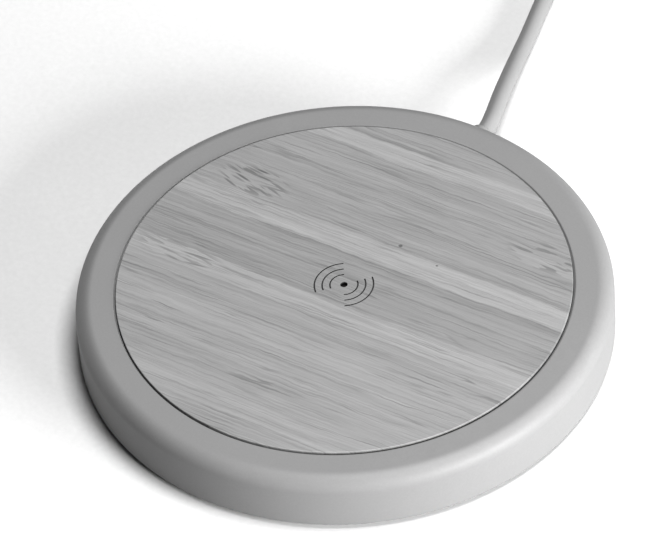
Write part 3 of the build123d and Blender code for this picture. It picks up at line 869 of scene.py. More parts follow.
def lathe_tree():
    """Turns the piece's own outline, drawn as radius and height, about Z."""
    tree, source, sink = geometry_tree("lathe", {
        "Path Radius": "NodeSocketFloat", "Segments": "NodeSocketInt",
        "Material": "NodeSocketMaterial",
    })
    outline = add_node(tree, "GeometryNodeMeshToCurve", {"Mesh": source.outputs["Geometry"]})
    spot = add_node(
        tree, "ShaderNodeSeparateXYZ", {0: tree.nodes.new("GeometryNodeInputPosition").outputs[0]}
    )
    from_path = minus(tree, spot.outputs["X"], source.outputs["Path Radius"])
    rise = times(tree, spot.outputs["Z"], -1.0)
    section = add_node(tree, "GeometryNodeSetPosition", {
        "Geometry": outline.outputs["Curve"], "Position": join_xyz(tree, from_path, rise),
    })
    path = add_node(tree, "GeometryNodeCurvePrimitiveCircle", {
        "Resolution": source.outputs["Segments"], "Radius": source.outputs["Path Radius"],
    })
    turned = add_node(tree, "GeometryNodeCurveToMesh", {
        "Curve": path.outputs["Curve"], "Profile Curve": section.outputs["Geometry"],
    })
    merged = add_node(
        tree, "GeometryNodeMergeByDistance",
        {"Geometry": turned.outputs["Mesh"], "Distance": MERGE_DISTANCE}
    )
    end_tree(tree, source, sink, merged.outputs["Geometry"])
    return tree


def scatter_tree():
    """Stands a copy of one object on each point of the piece."""
    tree, source, sink = geometry_tree("scatter", {
        "Part": "NodeSocketObject", "Turn": "NodeSocketFloat", "Seed": "NodeSocketInt",
        "Material": "NodeSocketMaterial",
    })
    part = add_node(tree, "GeometryNodeObjectInfo", {"Object": source.outputs["Part"]})
    spread = add_node(tree, "FunctionNodeRandomValue", {
        "Min": (0.0, 0.0, 0.0), "Seed": source.outputs["Seed"],
    }, data_type="FLOAT_VECTOR")
    tree.links.new(join_xyz(tree, 0.0, 0.0, source.outputs["Turn"]), spread.inputs["Max"])
    copies = add_node(tree, "GeometryNodeInstanceOnPoints", {
        "Points": source.outputs["Geometry"], "Instance": part.outputs["Geometry"],
        "Rotation": spread.outputs["Value"],
    })
    end_tree(tree, source, sink, copies.outputs["Instances"])
    return tree


def spiral_tree():
    """Winds a flattened wire into a flat spiral, with its place along and around kept."""
    tree, source, sink = geometry_tree("flat_winding", {
        "Inner Radius": "NodeSocketFloat", "Outer Radius": "NodeSocketFloat",
        "Turns": "NodeSocketFloat",
        "Wire Width": "NodeSocketFloat", "Wire Height": "NodeSocketFloat",
        "Height": "NodeSocketFloat",
        "Points Per Turn": "NodeSocketInt", "Material": "NodeSocketMaterial",
    })
    spiral = add_node(tree, "GeometryNodeCurveSpiral", {
        "Resolution": source.outputs["Points Per Turn"], "Rotations": source.outputs["Turns"],
        "Start Radius": source.outputs["Inner Radius"],
        "End Radius": source.outputs["Outer Radius"],
        "Height": 0.0,
    })
    lifted = add_node(tree, "GeometryNodeSetPosition", {
        "Geometry": spiral.outputs["Curve"],
        "Offset": join_xyz(tree, 0.0, 0.0, source.outputs["Height"]),
    })
    length = tree.nodes.new("GeometryNodeSplineParameter").outputs["Length"]
    along = add_node(tree, "GeometryNodeStoreNamedAttribute", {
        "Geometry": lifted.outputs["Geometry"], "Name": "along", "Value": length,
    }, data_type="FLOAT", domain="POINT")
    circle = add_node(tree, "GeometryNodeCurvePrimitiveCircle", {"Resolution": 12, "Radius": 0.5})
    flat = add_node(tree, "GeometryNodeTransform", {"Geometry": circle.outputs["Curve"]})
    tree.links.new(
        join_xyz(tree, source.outputs["Wire Width"], source.outputs["Wire Height"], 1.0),
        flat.inputs["Scale"]
    )
    share = tree.nodes.new("GeometryNodeSplineParameter").outputs["Factor"]
    around = add_node(tree, "GeometryNodeStoreNamedAttribute", {
        "Geometry": flat.outputs["Geometry"], "Name": "around", "Value": share,
    }, data_type="FLOAT", domain="POINT")
    wound = add_node(tree, "GeometryNodeCurveToMesh", {
        "Curve": along.outputs["Geometry"], "Profile Curve": around.outputs["Geometry"],
        "Fill Caps": True,
    })
    end_tree(tree, source, sink, wound.outputs["Mesh"])
    return tree


TREES = {"lathe": lathe_tree, "scatter": scatter_tree, "flat_winding": spiral_tree}


def turned_piece(name, outline, segments, material, path_radius):
    """A piece of revolution about Z from an outline of (radius, height) points."""
    count = len(outline)
    edges = [(index, (index + 1) % count) for index in range(count)]
    drawn = mesh_from(name, [(radius, 0.0, height) for radius, height in outline], edges=edges)
    piece = link(name, drawn)
    run_tree(
        piece, "lathe", {"Path Radius": path_radius, "Segments": segments, "Material": material}
    )
    outward(piece.data)
    return piece


# ---- Stage ------------------------------------------------------------------------------

def aim(thing, location, target):
    thing.location = location
    thing.rotation_mode = "QUATERNION"
    thing.rotation_quaternion = (Vector(target) - Vector(location)).to_track_quat("-Z", "Y")


def soft_light(name, location, target, width, height, power):
    data = bpy.data.lights.new(name, "AREA")
    data.shape = "RECTANGLE"
    data.size = width
    data.size_y = height
    data.energy = power
    lamp = link(name, data)
    aim(lamp, location, target)


class PADBUILD_OT_stage(bpy.types.Operator):
    """Make the floor, the soft lights and the camera"""
    bl_idname = "padbuild.stage"
    bl_label = "Stage"

    camera_aim = (-0.012235, 0.012421, 0.0)
    camera_distance = 1.03379
    camera_elevation = math.radians(44.969)
    camera_azimuth = math.radians(33.274)
    camera_roll = math.radians(-4.393)
    sensor_width = 36.0
    floor_reach = 8.0
    fill_strength = 0.03
    backdrop_strength = 0.85
    # Name, place, aim, width and height of each soft light
    side_light = ("side_light", (0.593, -0.094, 0.16), (0.0, 0.0, 0.01), 0.36, 0.2)
    top_light = ("top_light", (0.12, 0.07, 0.75), (0.0, 0.0, 0.0), 0.36, 0.36)

    def execute(self, context):
        settings = context.scene.pad_stage
        self.make_camera(context, settings)
        self.make_floor(settings)
        soft_light(*self.side_light, settings.key_power)
        soft_light(*self.top_light, settings.top_power)
        self.make_world(context)
        context.scene.view_settings.view_transform = "Standard"
        return {"FINISHED"}

    def make_camera(self, context, settings):
        level = math.cos(self.camera_elevation)
        forward = Vector((
            -math.sin(self.camera_azimuth) * level,
            math.cos(self.camera_azimuth) * level,
            -math.sin(self.camera_elevation),
        ))
        level_right = Vector((forward.y, -forward.x, 0.0)).normalized()
        level_up = level_right.cross(forward)
        right = level_right * math.cos(self.camera_roll) + level_up * math.sin(self.camera_roll)
        up = level_up * math.cos(self.camera_roll) - level_right * math.sin(self.camera_roll)
        data = bpy.data.cameras.new("camera")
        data.lens = settings.lens
        data.sensor_width = self.sensor_width
        data.clip_start = 0.01
        data.clip_end = 50.0
        camera = link("camera", data)
        turn = Matrix((right, up, -forward)).transposed().to_4x4()
        place = Vector(self.camera_aim) - forward * self.camera_distance
        camera.matrix_world = Matrix.Translation(place) @ turn
        context.scene.camera = camera

    def make_floor(self, settings):
        reach = self.floor_reach
        corners = [(-reach, -reach, 0), (reach, -reach, 0), (reach, reach, 0), (-reach, reach, 0)]
        floor = link("floor", mesh_from("floor", corners, [(0, 1, 2, 3)]))
        floor.data.materials.append(
            moulded("floor_paint", settings.floor_colour, 0.75, 900.0, 0.00001, 0.0)
        )

    def make_world(self, context):
        world = bpy.data.worlds.new("room")
        world.use_nodes = True
        tree = world.node_tree
        tree.nodes.clear()
        seen = tree.nodes.new("ShaderNodeLightPath").outputs["Is Camera Ray"]
        fill, backdrop = [
            add_node(
                tree, "ShaderNodeBackground", {"Color": (1.0, 1.0, 1.0, 1.0), "Strength": strength}
            )
            for strength in (self.fill_strength, self.backdrop_strength)
        ]
        both = add_node(
            tree, "ShaderNodeMixShader", {0: seen, 1: fill.outputs[0], 2: backdrop.outputs[0]}
        )
        output = tree.nodes.new("ShaderNodeOutputWorld")
        tree.links.new(both.outputs[0], output.inputs["Surface"])
        context.scene.world = world


# ---- Lead -------------------------------------------------------------------------------

coil_inner_radius, coil_outer_radius = 0.01235, 0.02765
coil_centre = (coil_low.x + coil_outer_radius, 0.1196)
coil_rest_height = 0.0022
coil_top_height = 0.0056
coil_layer_turns = 3.5
coil_entry = 11.0
coil_exit = -10.0
points_per_turn = 24
plug_axis_y = (grip_low.y + grip_high.y) / 2
plug_axis_z = (grip_low.z + grip_high.z) / 2


def coil_place(radius, angle, height):
    turn = math.radians(angle)
    return (
        coil_centre[0] + radius * math.cos(turn), coil_centre[1] + radius * math.sin(turn), height
    )


def beside_coil(radius, angle, height, distance):
    """A point on the tangent to a turn; a negative distance lies before it."""
    x, y, z = coil_place(radius, angle, height)
    turn = math.radians(angle)
    return (x - distance * math.sin(turn), y + distance * math.cos(turn), z)


def coil_turns(settings):
    """The spare coil: in along the floor, up round the innermost turn, and out on top."""
    half_width = coil_layer_turns * settings.diameter / 2
    inner = settings.coil_radius - half_width
    swept = 360.0 * 2 * coil_layer_turns + coil_exit - coil_entry
    steps = round(swept / 360.0 * points_per_turn)
    control = 1 / math.cos(math.pi / points_per_turn)
    rounded_foot = 0.0009
    places = []
    for step in range(steps + 1):
        share = step / steps
        from_middle = abs(2 * share - 1)
        radius = inner + 2 * half_width * math.sqrt(from_middle ** 2 + rounded_foot)
        climb = min(1.0, max(0.0, (share - 0.5) * coil_layer_turns + 0.5))
        climb = climb * climb * (3 - 2 * climb)
        height = coil_rest_height + (coil_top_height - coil_rest_height) * climb
        angle = coil_entry + swept * share
        places.append(coil_place(min(radius, inner + 2 * half_width) * control, angle, height))
    return places


def lead_route(settings):
    """Control points of the whole lead, from the wall to the plug."""
    outer = settings.coil_radius + coil_layer_turns * settings.diameter / 2
    route = [
        (0.0, pad_radius, cord_height),
        (0.0002, 0.0536, cord_height),
        (-0.0005, 0.0573, 0.0057),
        (-0.0024, 0.0637, 0.0049),
        (-0.0042, 0.0700, 0.0035),
        (-0.0060, 0.0769, 0.0022),
        (-0.0075, 0.0842, 0.0017),
        (-0.0091, 0.0913, 0.0017),
        (-0.0104, 0.0978, 0.0017),
        beside_coil(outer, coil_entry, coil_rest_height, -0.0204),
        beside_coil(outer, coil_entry, coil_rest_height, -0.014),
    ]
    route += coil_turns(settings)
    route += [
        beside_coil(outer, coil_exit, coil_top_height, 0.014),
        beside_coil(outer, coil_exit, coil_top_height, 0.021),
        (-0.0132, 0.1433, 0.0046),
        (-0.0170, 0.1498, 0.0033),
        (-0.0228, 0.1547, 0.0030),
        (-0.0300, plug_axis_y, plug_axis_z),
        (grip_high.x, plug_axis_y, plug_axis_z),
    ]
    return route


class PADBUILD_OT_lead(bpy.types.Operator):
    """Make the lead, its strain relief, the tie, the plug's grip and the plug's finishes"""
    bl_idname = "padbuild.lead"
    bl_label = "Lead and plug"

    # Ribbed nose of the plug's grip: share of its length from the lead, and radius
    nose = [
        (0.0, 0.00195), (0.03, 0.0022), (0.25, 0.00238), (0.28, 0.0021), (0.4, 0.0021),
        (0.43, 0.00262), (0.62, 0.00285), (0.65, 0.0024), (0.77, 0.0024), (0.80, 0.0031),
        (0.97, 0.0033),
    ]

    def execute(self, context):
        settings = context.scene.pad_lead
        jacket = moulded("lead_jacket", settings.jacket_colour, 0.5, 3000.0, 0.00001, 0.1)
        relief = self.make_relief(settings)
        tie = self.make_tie(settings)
        grip = self.make_grip(settings)
        self.dress_plug()
        lead = self.make_lead(settings, jacket)
        dress("cord_inner_end", jacket)
        return {"FINISHED"}

    def make_lead(self, settings, jacket):
        curve = bpy.data.curves.new("lead", "CURVE")
        curve.dimensions = "3D"
        spline = curve.splines.new("NURBS")
        route = lead_route(settings)
        spline.points.add(len(route) - 1)
        for point, place in zip(spline.points, route):
            point.co = (*place, 1.0)
        spline.order_u = 3
        spline.use_endpoint_u = True
        spline.resolution_u = 6
        curve.bevel_depth = settings.diameter / 2
        curve.bevel_resolution = 6
        curve.use_fill_caps = True
        return finish_piece(
            link("lead", curve), jacket, ("cord", "cord_coil", "cord_end")
        )

    def make_relief(self, settings):
        """Grommet: flange inside the wall, neck through it, and a short ribbed, tapered nose."""
        start, end = relief_low.y, relief_high.y
        bore = settings.diameter / 2
        flange, neck, nose, tip = 0.0033, 0.0027, 0.0026, 0.00215
        flange_end = 0.04705
        rib, groove, tip_round = 0.0001, 0.0004, 0.00035
        outline = [(bore, start), (flange, start), (flange, flange_end), (neck, flange_end)]
        outline += [(neck, pad_radius), (nose, pad_radius)]
        outline += [(nose - rib, pad_radius + 0.0006), (nose - groove, pad_radius + 0.0007)]
        outline += [(nose - groove, pad_radius + 0.0010), (nose - 0.00015, pad_radius + 0.0011)]
        outline += [(tip + 0.00015, end - 0.0004)]
        outline += arc((tip - 0.0002, end - tip_round), tip_round, 0, 90, 5)
        outline += [(bore, end)]
        rubber = moulded("relief_rubber", settings.jacket_colour, 0.55, 3200.0, 0.000012, 0.1)
        relief = turned_piece("strain_relief_grommet", outline, 64, rubber, flange)
        quarter_turn = Matrix.Rotation(math.radians(-90), 4, "X")
        relief.data.transform(Matrix.Translation((0.0, 0.0, cord_height)) @ quarter_turn)
        return finish_piece(relief, rubber, ("strain_relief",), 40)

    def make_tie(self, settings):
        """Strap wrapped once round the turns, its free end lapped on top."""
        low, high = coil_low.z, coil_high.z
        thickness = 0.00045
        corner = 0.0015
        half_width = 0.0048
        middle_angle = math.radians(216.0)
        lap_start, lap_end = 0.0175, 0.0262
        lap_thickness, lap_inset = 0.0005, 0.0002
        overlap = 0.00002
        radial = Vector((math.cos(middle_angle), math.sin(middle_angle), 0.0))
        sideways = Vector((-math.sin(middle_angle), math.cos(middle_angle), 0.0))
        centre = Vector((*coil_centre, 0.0))

        def loop(offset):
            """Rounded rectangle round the bundle: radius and height."""
            radius = corner + offset
            left = coil_inner_radius - offset + radius
            right = coil_outer_radius + offset - radius
            bottom, top = low - offset + radius, high + offset - radius
            corners = [(right, bottom), (right, top), (left, top), (left, bottom)]
            places = []
            for index, place in enumerate(corners):
                places += arc(place, radius, 90 * index - 90, 90 * index, 6)
            return places

        points, faces = [], []
        sections = list(zip(loop(overlap), loop(thickness)))
        for near, far in sections:
            for place, side in ((near, -1), (near, 1), (far, 1), (far, -1)):
                spot = centre + radial * place[0] + sideways * side * half_width
                points.append((spot.x, spot.y, place[1]))
        for index in range(len(sections)):
            here, ahead = 4 * index, 4 * ((index + 1) % len(sections))
            for edge in range(4):
                following = (edge + 1) % 4
                faces.append((here + edge, here + following, ahead + following, ahead + edge))
        wrap = outward(mesh_from("coil_strap", points, faces))
        lap_bottom = high + thickness
        lap = block(
            (lap_start, -half_width + lap_inset, lap_bottom - overlap),
            (lap_end, half_width - lap_inset, min(tie_high.z, lap_bottom + lap_thickness)),
        )
        lap.transform(Matrix.Translation(centre) @ Matrix.Rotation(middle_angle, 4, "Z"))
        strap = link("coil_strap", joined([wrap, lap]))
        strap.data.name = "coil_strap"
        rounding = strap.modifiers.new("edges", "BEVEL")
        rounding.width = 0.00012
        rounding.segments = 2
        rounding.limit_method = "ANGLE"
        rounding.angle_limit = math.radians(50)
        baked(strap)
        self.unwrap_strap(strap.data, centre, radial, sideways)
        return finish_piece(strap, strap_weave(settings), ("cord_tie",), 50)

    def unwrap_strap(self, mesh, centre, radial, sideways):
        """Lays the strap flat: across its width, and outwards and up along its path."""
        layer = mesh.uv_layers.new(name="UVMap")
        for item in mesh.loops:
            place = mesh.vertices[item.vertex_index].co - centre
            layer.data[item.index].uv = (place.dot(sideways), place.dot(radial) + place.z)

    def make_grip(self, settings):
        """Soft-cornered grip with a waisted middle, side ribs and a ribbed nose for the lead."""
        nose_end, nose_length = grip_high.x, 0.006
        body_start = nose_end - nose_length
        body_end = grip_low.x
        full_width, full_height = grip_high.y - grip_low.y, grip_high.z - grip_low.z
        around, body_steps = 72, 45
        collar = 0.0033
        stations = [
            (nose_end - nose_length * share, radius, radius, 2.0) for share, radius in self.nose
        ]
        body_length = body_start - body_end
        for step in range(body_steps + 1):
            share = step / body_steps
            ease = min(1.0, share / 0.09)
            swell = math.sqrt(max(0.0, 1 - (1 - ease) ** 2))
            close = min(1.0, (1 - share) / 0.05)
            tuck = 0.94 + 0.06 * math.sqrt(max(0.0, 1 - (1 - close) ** 2))
            waist = 1 - 0.055 * math.sin(math.pi * min(1.0, max(0.0, (share - 0.1) / 0.8))) ** 2
            rib = 0.0
            if 0.28 < share < 0.72:
                rib = 0.00014 * (1 + math.cos(2 * math.pi * (share - 0.5) / 0.055))
            half_y = (collar + (full_width / 2 - collar) * swell) * waist * tuck - rib
            half_z = (collar + (full_height / 2 - collar) * swell) * tuck
            stations.append((body_start - body_length * share, half_y, half_z, 2.0 + 1.6 * swell))
        points, faces = [], []
        for x, half_y, half_z, power in stations:
            for index in range(around):
                angle = 2 * math.pi * index / around
                c, s = math.cos(angle), math.sin(angle)
                y = math.copysign(abs(c) ** (2 / power), c) * half_y
                z = math.copysign(abs(s) ** (2 / power), s) * half_z
                points.append((x, plug_axis_y + y, plug_axis_z + z))
        for ring in range(len(stations) - 1):
            for index in range(around):
                following = (index + 1) % around
                here, ahead = ring * around, (ring + 1) * around
                faces.append((here + index, here + following, ahead + following, ahead + index))
        faces.append(tuple(range(around)))
        faces.append(tuple(range((len(stations) - 1) * around, len(stations) * around)))
        mesh = outward(mesh_from("plug_grip", points, faces))
        plastic = moulded("grip_plastic", settings.jacket_colour, 0.48, 2400.0, 0.000014, 0.15)
        return finish_piece(link("plug_grip", mesh), plastic, ("plug_overmould",), 35)

    def dress_plug(self):
        dress("plug_shell", metal("plug_nickel", (0.62, 0.62, 0.63), 0.24, (0.08, 1.0, 1.0)))
        dress(
            "plug_tongue",
            moulded("plug_insulator", (0.72, 0.72, 0.71), 0.4, 3000.0, 0.000008, 0.05)
        )
        dress("plug_contacts", metal("gold_contacts", (0.85, 0.6, 0.25), 0.22, (0.1, 1.0, 1.0)))


# ---- Case ---------------------------------------------------------------------------------

deck_top = inlay_low.z - 0.0002
deck_bottom = deck_top - 0.0015


def housing_outline(case):
    """Ring, wall and deck in section: radius and height, round the outside and back inside."""
    wall_radius = pad_radius
    recess = inlay_radius + case.inlay_gap
    shoulder, lower, lip = case.shoulder_radius, case.lower_edge_radius, case.lip_radius
    cavity = wall_radius - case.wall_thickness
    rim = cavity + 0.0008
    ring_bottom = ring_top - case.ring_shell
    step_radius = recess + case.ring_shell
    hold = 0.0002
    axis_hole = 0.0007
    groove, seat = 0.00022, 0.7 * case.inlay_gap
    outline = [(rim, foot_height), (wall_radius - lower - hold, foot_height)]
    outline += arc((wall_radius - lower, foot_height + lower), lower, -90, 0, 6)
    outline += [
        (wall_radius, foot_height + lower + hold), (wall_radius, ring_top - shoulder - hold)
    ]
    outline += arc((wall_radius - shoulder, ring_top - shoulder), shoulder, 0, 90, 16)
    outline += [(wall_radius - shoulder - hold, ring_top), (recess + lip + hold, ring_top)]
    outline += arc((recess + lip, ring_top - lip), lip, 90, 180, 6)
    outline += [
        (recess, ring_top - groove), (recess - seat, ring_top - groove - seat),
        (recess - seat, deck_top)
    ]
    outline += [(axis_hole, deck_top), (axis_hole, deck_bottom)]
    outline += [(step_radius, deck_bottom), (step_radius, ring_bottom), (cavity, ring_bottom)]
    outline += [(cavity, cover_top), (rim, cover_top)]
    return outline


def on_circle(count, radius, first_angle):
    angles = [math.radians(first_angle + 360.0 * step / count) for step in range(count)]
    return [(radius * math.cos(angle), radius * math.sin(angle)) for angle in angles]


cover_screw_places = on_circle(4, 0.042, 45.0)
board_screw_places = on_circle(3, 0.033, 30.0)
clamp_screw_places = [(-0.0048, 0.0423), (0.0048, 0.0423)]

# Radii of the screw posts, and of the pilot holes in them
cover_post, board_post, clamp_post = 0.0028, 0.0025, 0.0019
cover_pilot, small_pilot = 0.0009, 0.00075
clamp_post_end = 0.0043
small_pilot_start = 0.003


class PADBUILD_OT_case(bpy.types.Operator):
    """Make the turned housing with its posts, and finish the cover and the foot"""
    bl_idname = "padbuild.case"
    bl_label = "Case"

    # Half length and half width of the clamp's saddle, and its height over the lead's axis
    saddle = Vector((0.003, 0.002, 0.0012))

    def execute(self, context):
        settings = context.scene.pad_case
        plastic = moulded(
            "housing_plastic", settings.housing_colour, settings.roughness, 2200.0, 0.00001, 0.12
        )
        housing = turned_piece("housing", housing_outline(settings), 288, plastic, pad_radius)
        carve(housing, "UNION", self.posts())
        carve(housing, "DIFFERENCE", self.cuts())
        finish_piece(housing, plastic, ("upper_housing",), 32)
        dress(
            "bottom_cover",
            moulded("cover_plastic", settings.cover_colour, 0.6, 1500.0, 0.00002, 0.1)
        )
        dress(
            "foot_ring",
            moulded("foot_silicone", settings.foot_colour, 0.72, 1800.0, 0.00002, 0.0, 0.15)
        )
        return {"FINISHED"}

    def posts(self):
        """Screw posts and the saddle under the deck, each run a little into it."""
        root = deck_bottom + 0.0005
        made = [bar(cover_post, (x, y, cover_top), (x, y, root)) for x, y in cover_screw_places]
        made += [bar(board_post, (x, y, board_high.z), (x, y, root)) for x, y in board_screw_places]
        saddle_y, half = clamp_screw_places[0][1], self.saddle
        saddle_low = (-half.x, saddle_y - half.y, cord_height + half.z)
        made.append(block(saddle_low, (half.x, saddle_y + half.y, root)))
        made += [
            bar(clamp_post, (x, y, clamp_post_end), (x, y, root)) for x, y in clamp_screw_places
        ]
        return made

    def cuts(self):
        """Pilot holes, the saddle's groove and the slot for the grommet."""
        made = []
        for places, radius, low, high in (
            (cover_screw_places, cover_pilot, 0.001, cover_top + 0.0052),
            (board_screw_places, small_pilot, small_pilot_start, deck_bottom - 0.0003),
            (clamp_screw_places, small_pilot, small_pilot_start, deck_bottom - 0.0006),
        ):
            made += [bar(radius, (x, y, low), (x, y, high), segments=24) for x, y in places]
        groove, groove_start, groove_end = 0.0017, 0.0395, 0.0447
        slot, slot_start, slot_end = 0.0027, 0.0455, 0.0515
        made.append(bar(groove, (0, groove_start, cord_height), (0, groove_end, cord_height)))
        made.append(bar(slot, (0, slot_start, cord_height), (0, slot_end, cord_height)))
        made.append(block((-slot, slot_start, -0.001), (slot, slot_end, cord_height)))
        return made


class PADBUILD_OT_inlay(bpy.types.Operator):
    """Finish the bamboo disc, its glue, the light pipe and the light"""
    bl_idname = "padbuild.inlay"
    bl_label = "Inlay"

    def execute(self, context):
        dress("top_inlay", bamboo(context.scene.pad_inlay))
        dress("inlay_adhesive", clear_part("glue_film", (0.75, 0.74, 0.7), 0.35, 0.3))
        dress("light_pipe", clear_part("smoked_acrylic", (0.02, 0.02, 0.02), 0.12, 0.2))
        dress("status_led", clear_part("light_lens", (0.85, 0.85, 0.8), 0.15, 0.4))
        return {"FINISHED"}


# ---- Screws ---------------------------------------------------------------------------------

def screw_part(name, head_radius, head_height, shank_radius, length, countersunk, recess):
    """One screw, head down at height 0: ridged shank, turned head, cross recess."""
    outline = [(0.0, 0.0), (head_radius * 0.96, 0.0), (head_radius, head_height * 0.12)]
    if countersunk:
        outline.append((shank_radius, head_height))
    else:
        outline += [
            (head_radius, head_height * 0.9), (head_radius * 0.97, head_height),
            (shank_radius, head_height)
        ]
    pitch = 0.0006
    height = head_height + 0.2 * pitch
    while height < length - 2.2 * pitch:
        outline += [(shank_radius, height), (shank_radius * 0.78, height + 0.5 * pitch)]
        height += pitch
    outline += [(shank_radius * 0.9, height), (shank_radius * 0.35, length), (0.0, length)]
    part = turned_piece(name, outline, 20, None, head_radius)
    slot = 0.3 * recess
    depth = 0.5 * head_height
    arms = [(recess / 2, slot / 2), (slot / 2, recess / 2)]
    carve(part, "DIFFERENCE", [block((-x, -y, -0.0002), (x, y, depth)) for x, y in arms])
    return part


def stand_copies(name, part, places, height, turn, seed, material):
    """A piece with one copy of the part at each place, by Geometry Nodes."""
    piece = link(name, mesh_from(name, [(x, y, height) for x, y in places]))
    run_tree(piece, "scatter", {"Part": part, "Turn": turn, "Seed": seed, "Material": material})
    bpy.data.objects.remove(part)
    return piece


class PADBUILD_OT_screws(bpy.types.Operator):
    """Make the cover, board and clamp screws"""
    bl_idname = "padbuild.screws"
    bl_label = "Screws"

    def execute(self, context):
        steel = metal("screw_steel", (0.55, 0.55, 0.56), 0.32)
        # Piece, node, places, head radius and height, shank radius, countersunk, recess
        rows = [
            (
                "cover_fixing_screws", "cover_screws", cover_screw_places, 0.0021, 0.0009, 0.0009,
                True, 0.00252
            ),
            (
                "board_fixing_screws", "board_screws", board_screw_places, 0.0017, 0.0012, 0.00075,
                False, 0.002
            ),
            (
                "clamp_fixing_screws", "clamp_screws", clamp_screw_places, 0.0015, 0.0007, 0.00075,
                True, 0.0018
            ),
        ]
        for seed, (
            name, node, places, head, head_height, shank, countersunk, recess
        ) in enumerate(rows):
            low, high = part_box(node)
            part = screw_part(
                f"{name}_part", head, head_height, shank, high.z - low.z, countersunk, recess
            )
            piece = stand_copies(name, part, places, low.z, math.tau, seed, steel)
            finish_piece(piece, steel, (node,), 30)
        return {"FINISHED"}


# ---- Charging coil and board ------------------------------------------------------------------

class PADBUILD_OT_coil_stack(bpy.types.Operator):
    """Wind the charging coil and finish the parts stacked with it"""
    bl_idname = "padbuild.coil_stack"
    bl_label = "Charging coil"

    def execute(self, context):
        copper = litz_copper()
        height = winding_high.z - winding_low.z
        strand = 0.0011
        inner = 0.0104 + strand / 2
        outer = winding_high.x - strand / 2
        winding = link("charging_winding", mesh_from("charging_winding", [(0.0, 0.0, 0.0)]))
        run_tree(winding, "flat_winding", {
            "Inner Radius": inner, "Outer Radius": outer, "Turns": (outer - inner) / strand,
            "Wire Width": strand * 0.96, "Wire Height": height * 0.98,
            "Height": (winding_low.z + winding_high.z) / 2, "Points Per Turn": 96,
            "Material": copper,
        })
        outward(winding.data)
        finish_piece(winding, copper, ("charging_coil",), 60)
        dress("coil_leads", metal("coil_lead_copper", COPPER, 0.34))
        dress("coil_adhesive", clear_part("coil_glue", (0.7, 0.68, 0.6), 0.4, 0.3))
        dress(
            "ferrite_shield",
            moulded("ferrite_sheet", (0.03, 0.03, 0.032), 0.55, 1300.0, 0.00002, 0.2)
        )
        dress("thermistor", clear_part("sensor_epoxy", (0.03, 0.03, 0.03), 0.2, 0.0))
        return {"FINISHED"}


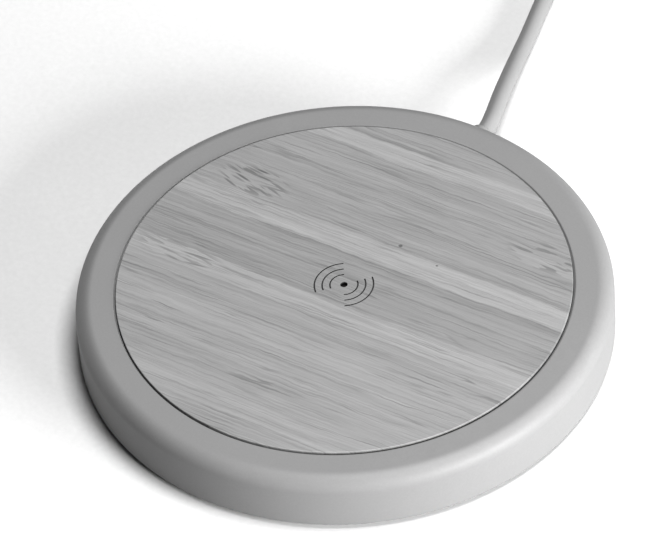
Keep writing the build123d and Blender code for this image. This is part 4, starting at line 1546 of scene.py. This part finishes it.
class PADBUILD_OT_board(bpy.types.Operator):
    """Make the chip parts and finish the board and what is on it"""
    bl_idname = "padbuild.board"
    bl_label = "Board"

    # CAD nodes; finish, colour, roughness, grain scale, depth and wear
    finishes = [
        (("controller_chip", "bridge_transistors"),
         ("chip_epoxy", (0.02, 0.02, 0.021), 0.5, 2400.0, 0.00002, 0.1)),
        (("resonant_capacitors", "input_capacitors"),
         ("capacitor_ceramic", (0.3, 0.2, 0.12), 0.42, 2600.0, 0.00001, 0.2)),
        (("power_inductor",),
         ("inductor_ferrite", (0.045, 0.045, 0.048), 0.6, 1500.0, 0.00002, 0.2)),
        (("cable_clamp",), ("clamp_nylon", (0.68, 0.68, 0.65), 0.45, 2400.0, 0.00001, 0.1)),
        (("lead_wire_positive",), ("wire_red", (0.45, 0.02, 0.02), 0.35, 2600.0, 0.00001, 0.0)),
        (("lead_wire_negative",),
         ("wire_black", (0.015, 0.015, 0.015), 0.35, 2600.0, 0.00001, 0.0)),
    ]
    # Rows of chip parts: across the board, first place along it, how many
    rows = [(-0.0205, -0.0035, 6), (-0.0090, 0.0090, 5), (0.0090, 0.0090, 5), (0.0075, -0.0100, 4)]
    pitch = 0.0016
    tinned_from = 0.28

    def execute(self, context):
        dress("main_board", board_laminate())
        for nodes, finish in self.finishes:
            material = moulded(*finish)
            for node in nodes:
                dress(node, material)
        self.make_chips()
        return {"FINISHED"}

    def make_chips(self):
        low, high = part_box("chip_passives")
        material = chip_body()
        places = [
            (x, first - self.pitch * step) for x, first, count in self.rows for step in range(count)
        ]
        part = self.chip_part(0.0016, 0.0008, high.z - low.z)
        piece = stand_copies("chip_parts", part, places, low.z, 0.0, 0, material)
        finish_piece(piece, material, ("chip_passives",), 40)

    def chip_part(self, length, width, height):
        """Small eased block whose two ends are marked as tinned."""
        work = bmesh.new()
        work.from_mesh(block((-length / 2, -width / 2, 0.0), (length / 2, width / 2, height)))
        for x in (-self.tinned_from, self.tinned_from):
            bmesh.ops.bisect_plane(
                work, geom=work.verts[:] + work.edges[:] + work.faces[:],
                plane_co=(x * length, 0, 0), plane_no=(1, 0, 0),
            )
        outer = [e for e in work.edges if e.is_manifold and e.calc_face_angle() > 1.0]
        bmesh.ops.bevel(work, geom=outer, offset=0.00006, segments=2, affect="EDGES")
        mesh = mesh_of(work, "chip")
        tinned = mesh.attributes.new("tinned", "FLOAT", "FACE")
        for face in mesh.polygons:
            tinned.data[face.index].value = float(abs(face.center.x) > self.tinned_from * length)
        return link("chip", mesh)


# ---- Panel and registration -----------------------------------------------------------------

STEPS = (
    PADBUILD_OT_stage, PADBUILD_OT_lead, PADBUILD_OT_case, PADBUILD_OT_inlay,
    PADBUILD_OT_screws, PADBUILD_OT_coil_stack, PADBUILD_OT_board,
)

SETTINGS = {
    "pad_case": PadCaseSettings,
    "pad_inlay": PadInlaySettings,
    "pad_lead": PadLeadSettings,
    "pad_stage": PadStageSettings,
}


class PADBUILD_PT_panel(bpy.types.Panel):
    bl_label = "Charging Pad"
    bl_idname = "PADBUILD_PT_panel"
    bl_space_type = "VIEW_3D"
    bl_region_type = "UI"
    bl_category = "Charging Pad"

    def draw(self, context):
        for name, kind in SETTINGS.items():
            box = self.layout.box()
            for label in kind.__annotations__:
                box.prop(getattr(context.scene, name), label)
        for step in STEPS:
            self.layout.operator(step.bl_idname)


def register():
    for kind in (*SETTINGS.values(), *STEPS, PADBUILD_PT_panel):
        bpy.utils.register_class(kind)
    for name, kind in SETTINGS.items():
        setattr(bpy.types.Scene, name, bpy.props.PointerProperty(type=kind))


def unregister():
    for name in SETTINGS:
        delattr(bpy.types.Scene, name)
    for kind in (PADBUILD_PT_panel, *reversed(STEPS), *SETTINGS.values()):
        bpy.utils.unregister_class(kind)


def main():
    """Registers everything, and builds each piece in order."""
    register()
    bpy.ops.padbuild.stage()
    bpy.ops.padbuild.lead()
    bpy.ops.padbuild.case()
    bpy.ops.padbuild.inlay()
    bpy.ops.padbuild.screws()
    bpy.ops.padbuild.coil_stack()
    bpy.ops.padbuild.board()


if __name__ == "__main__":
    main()
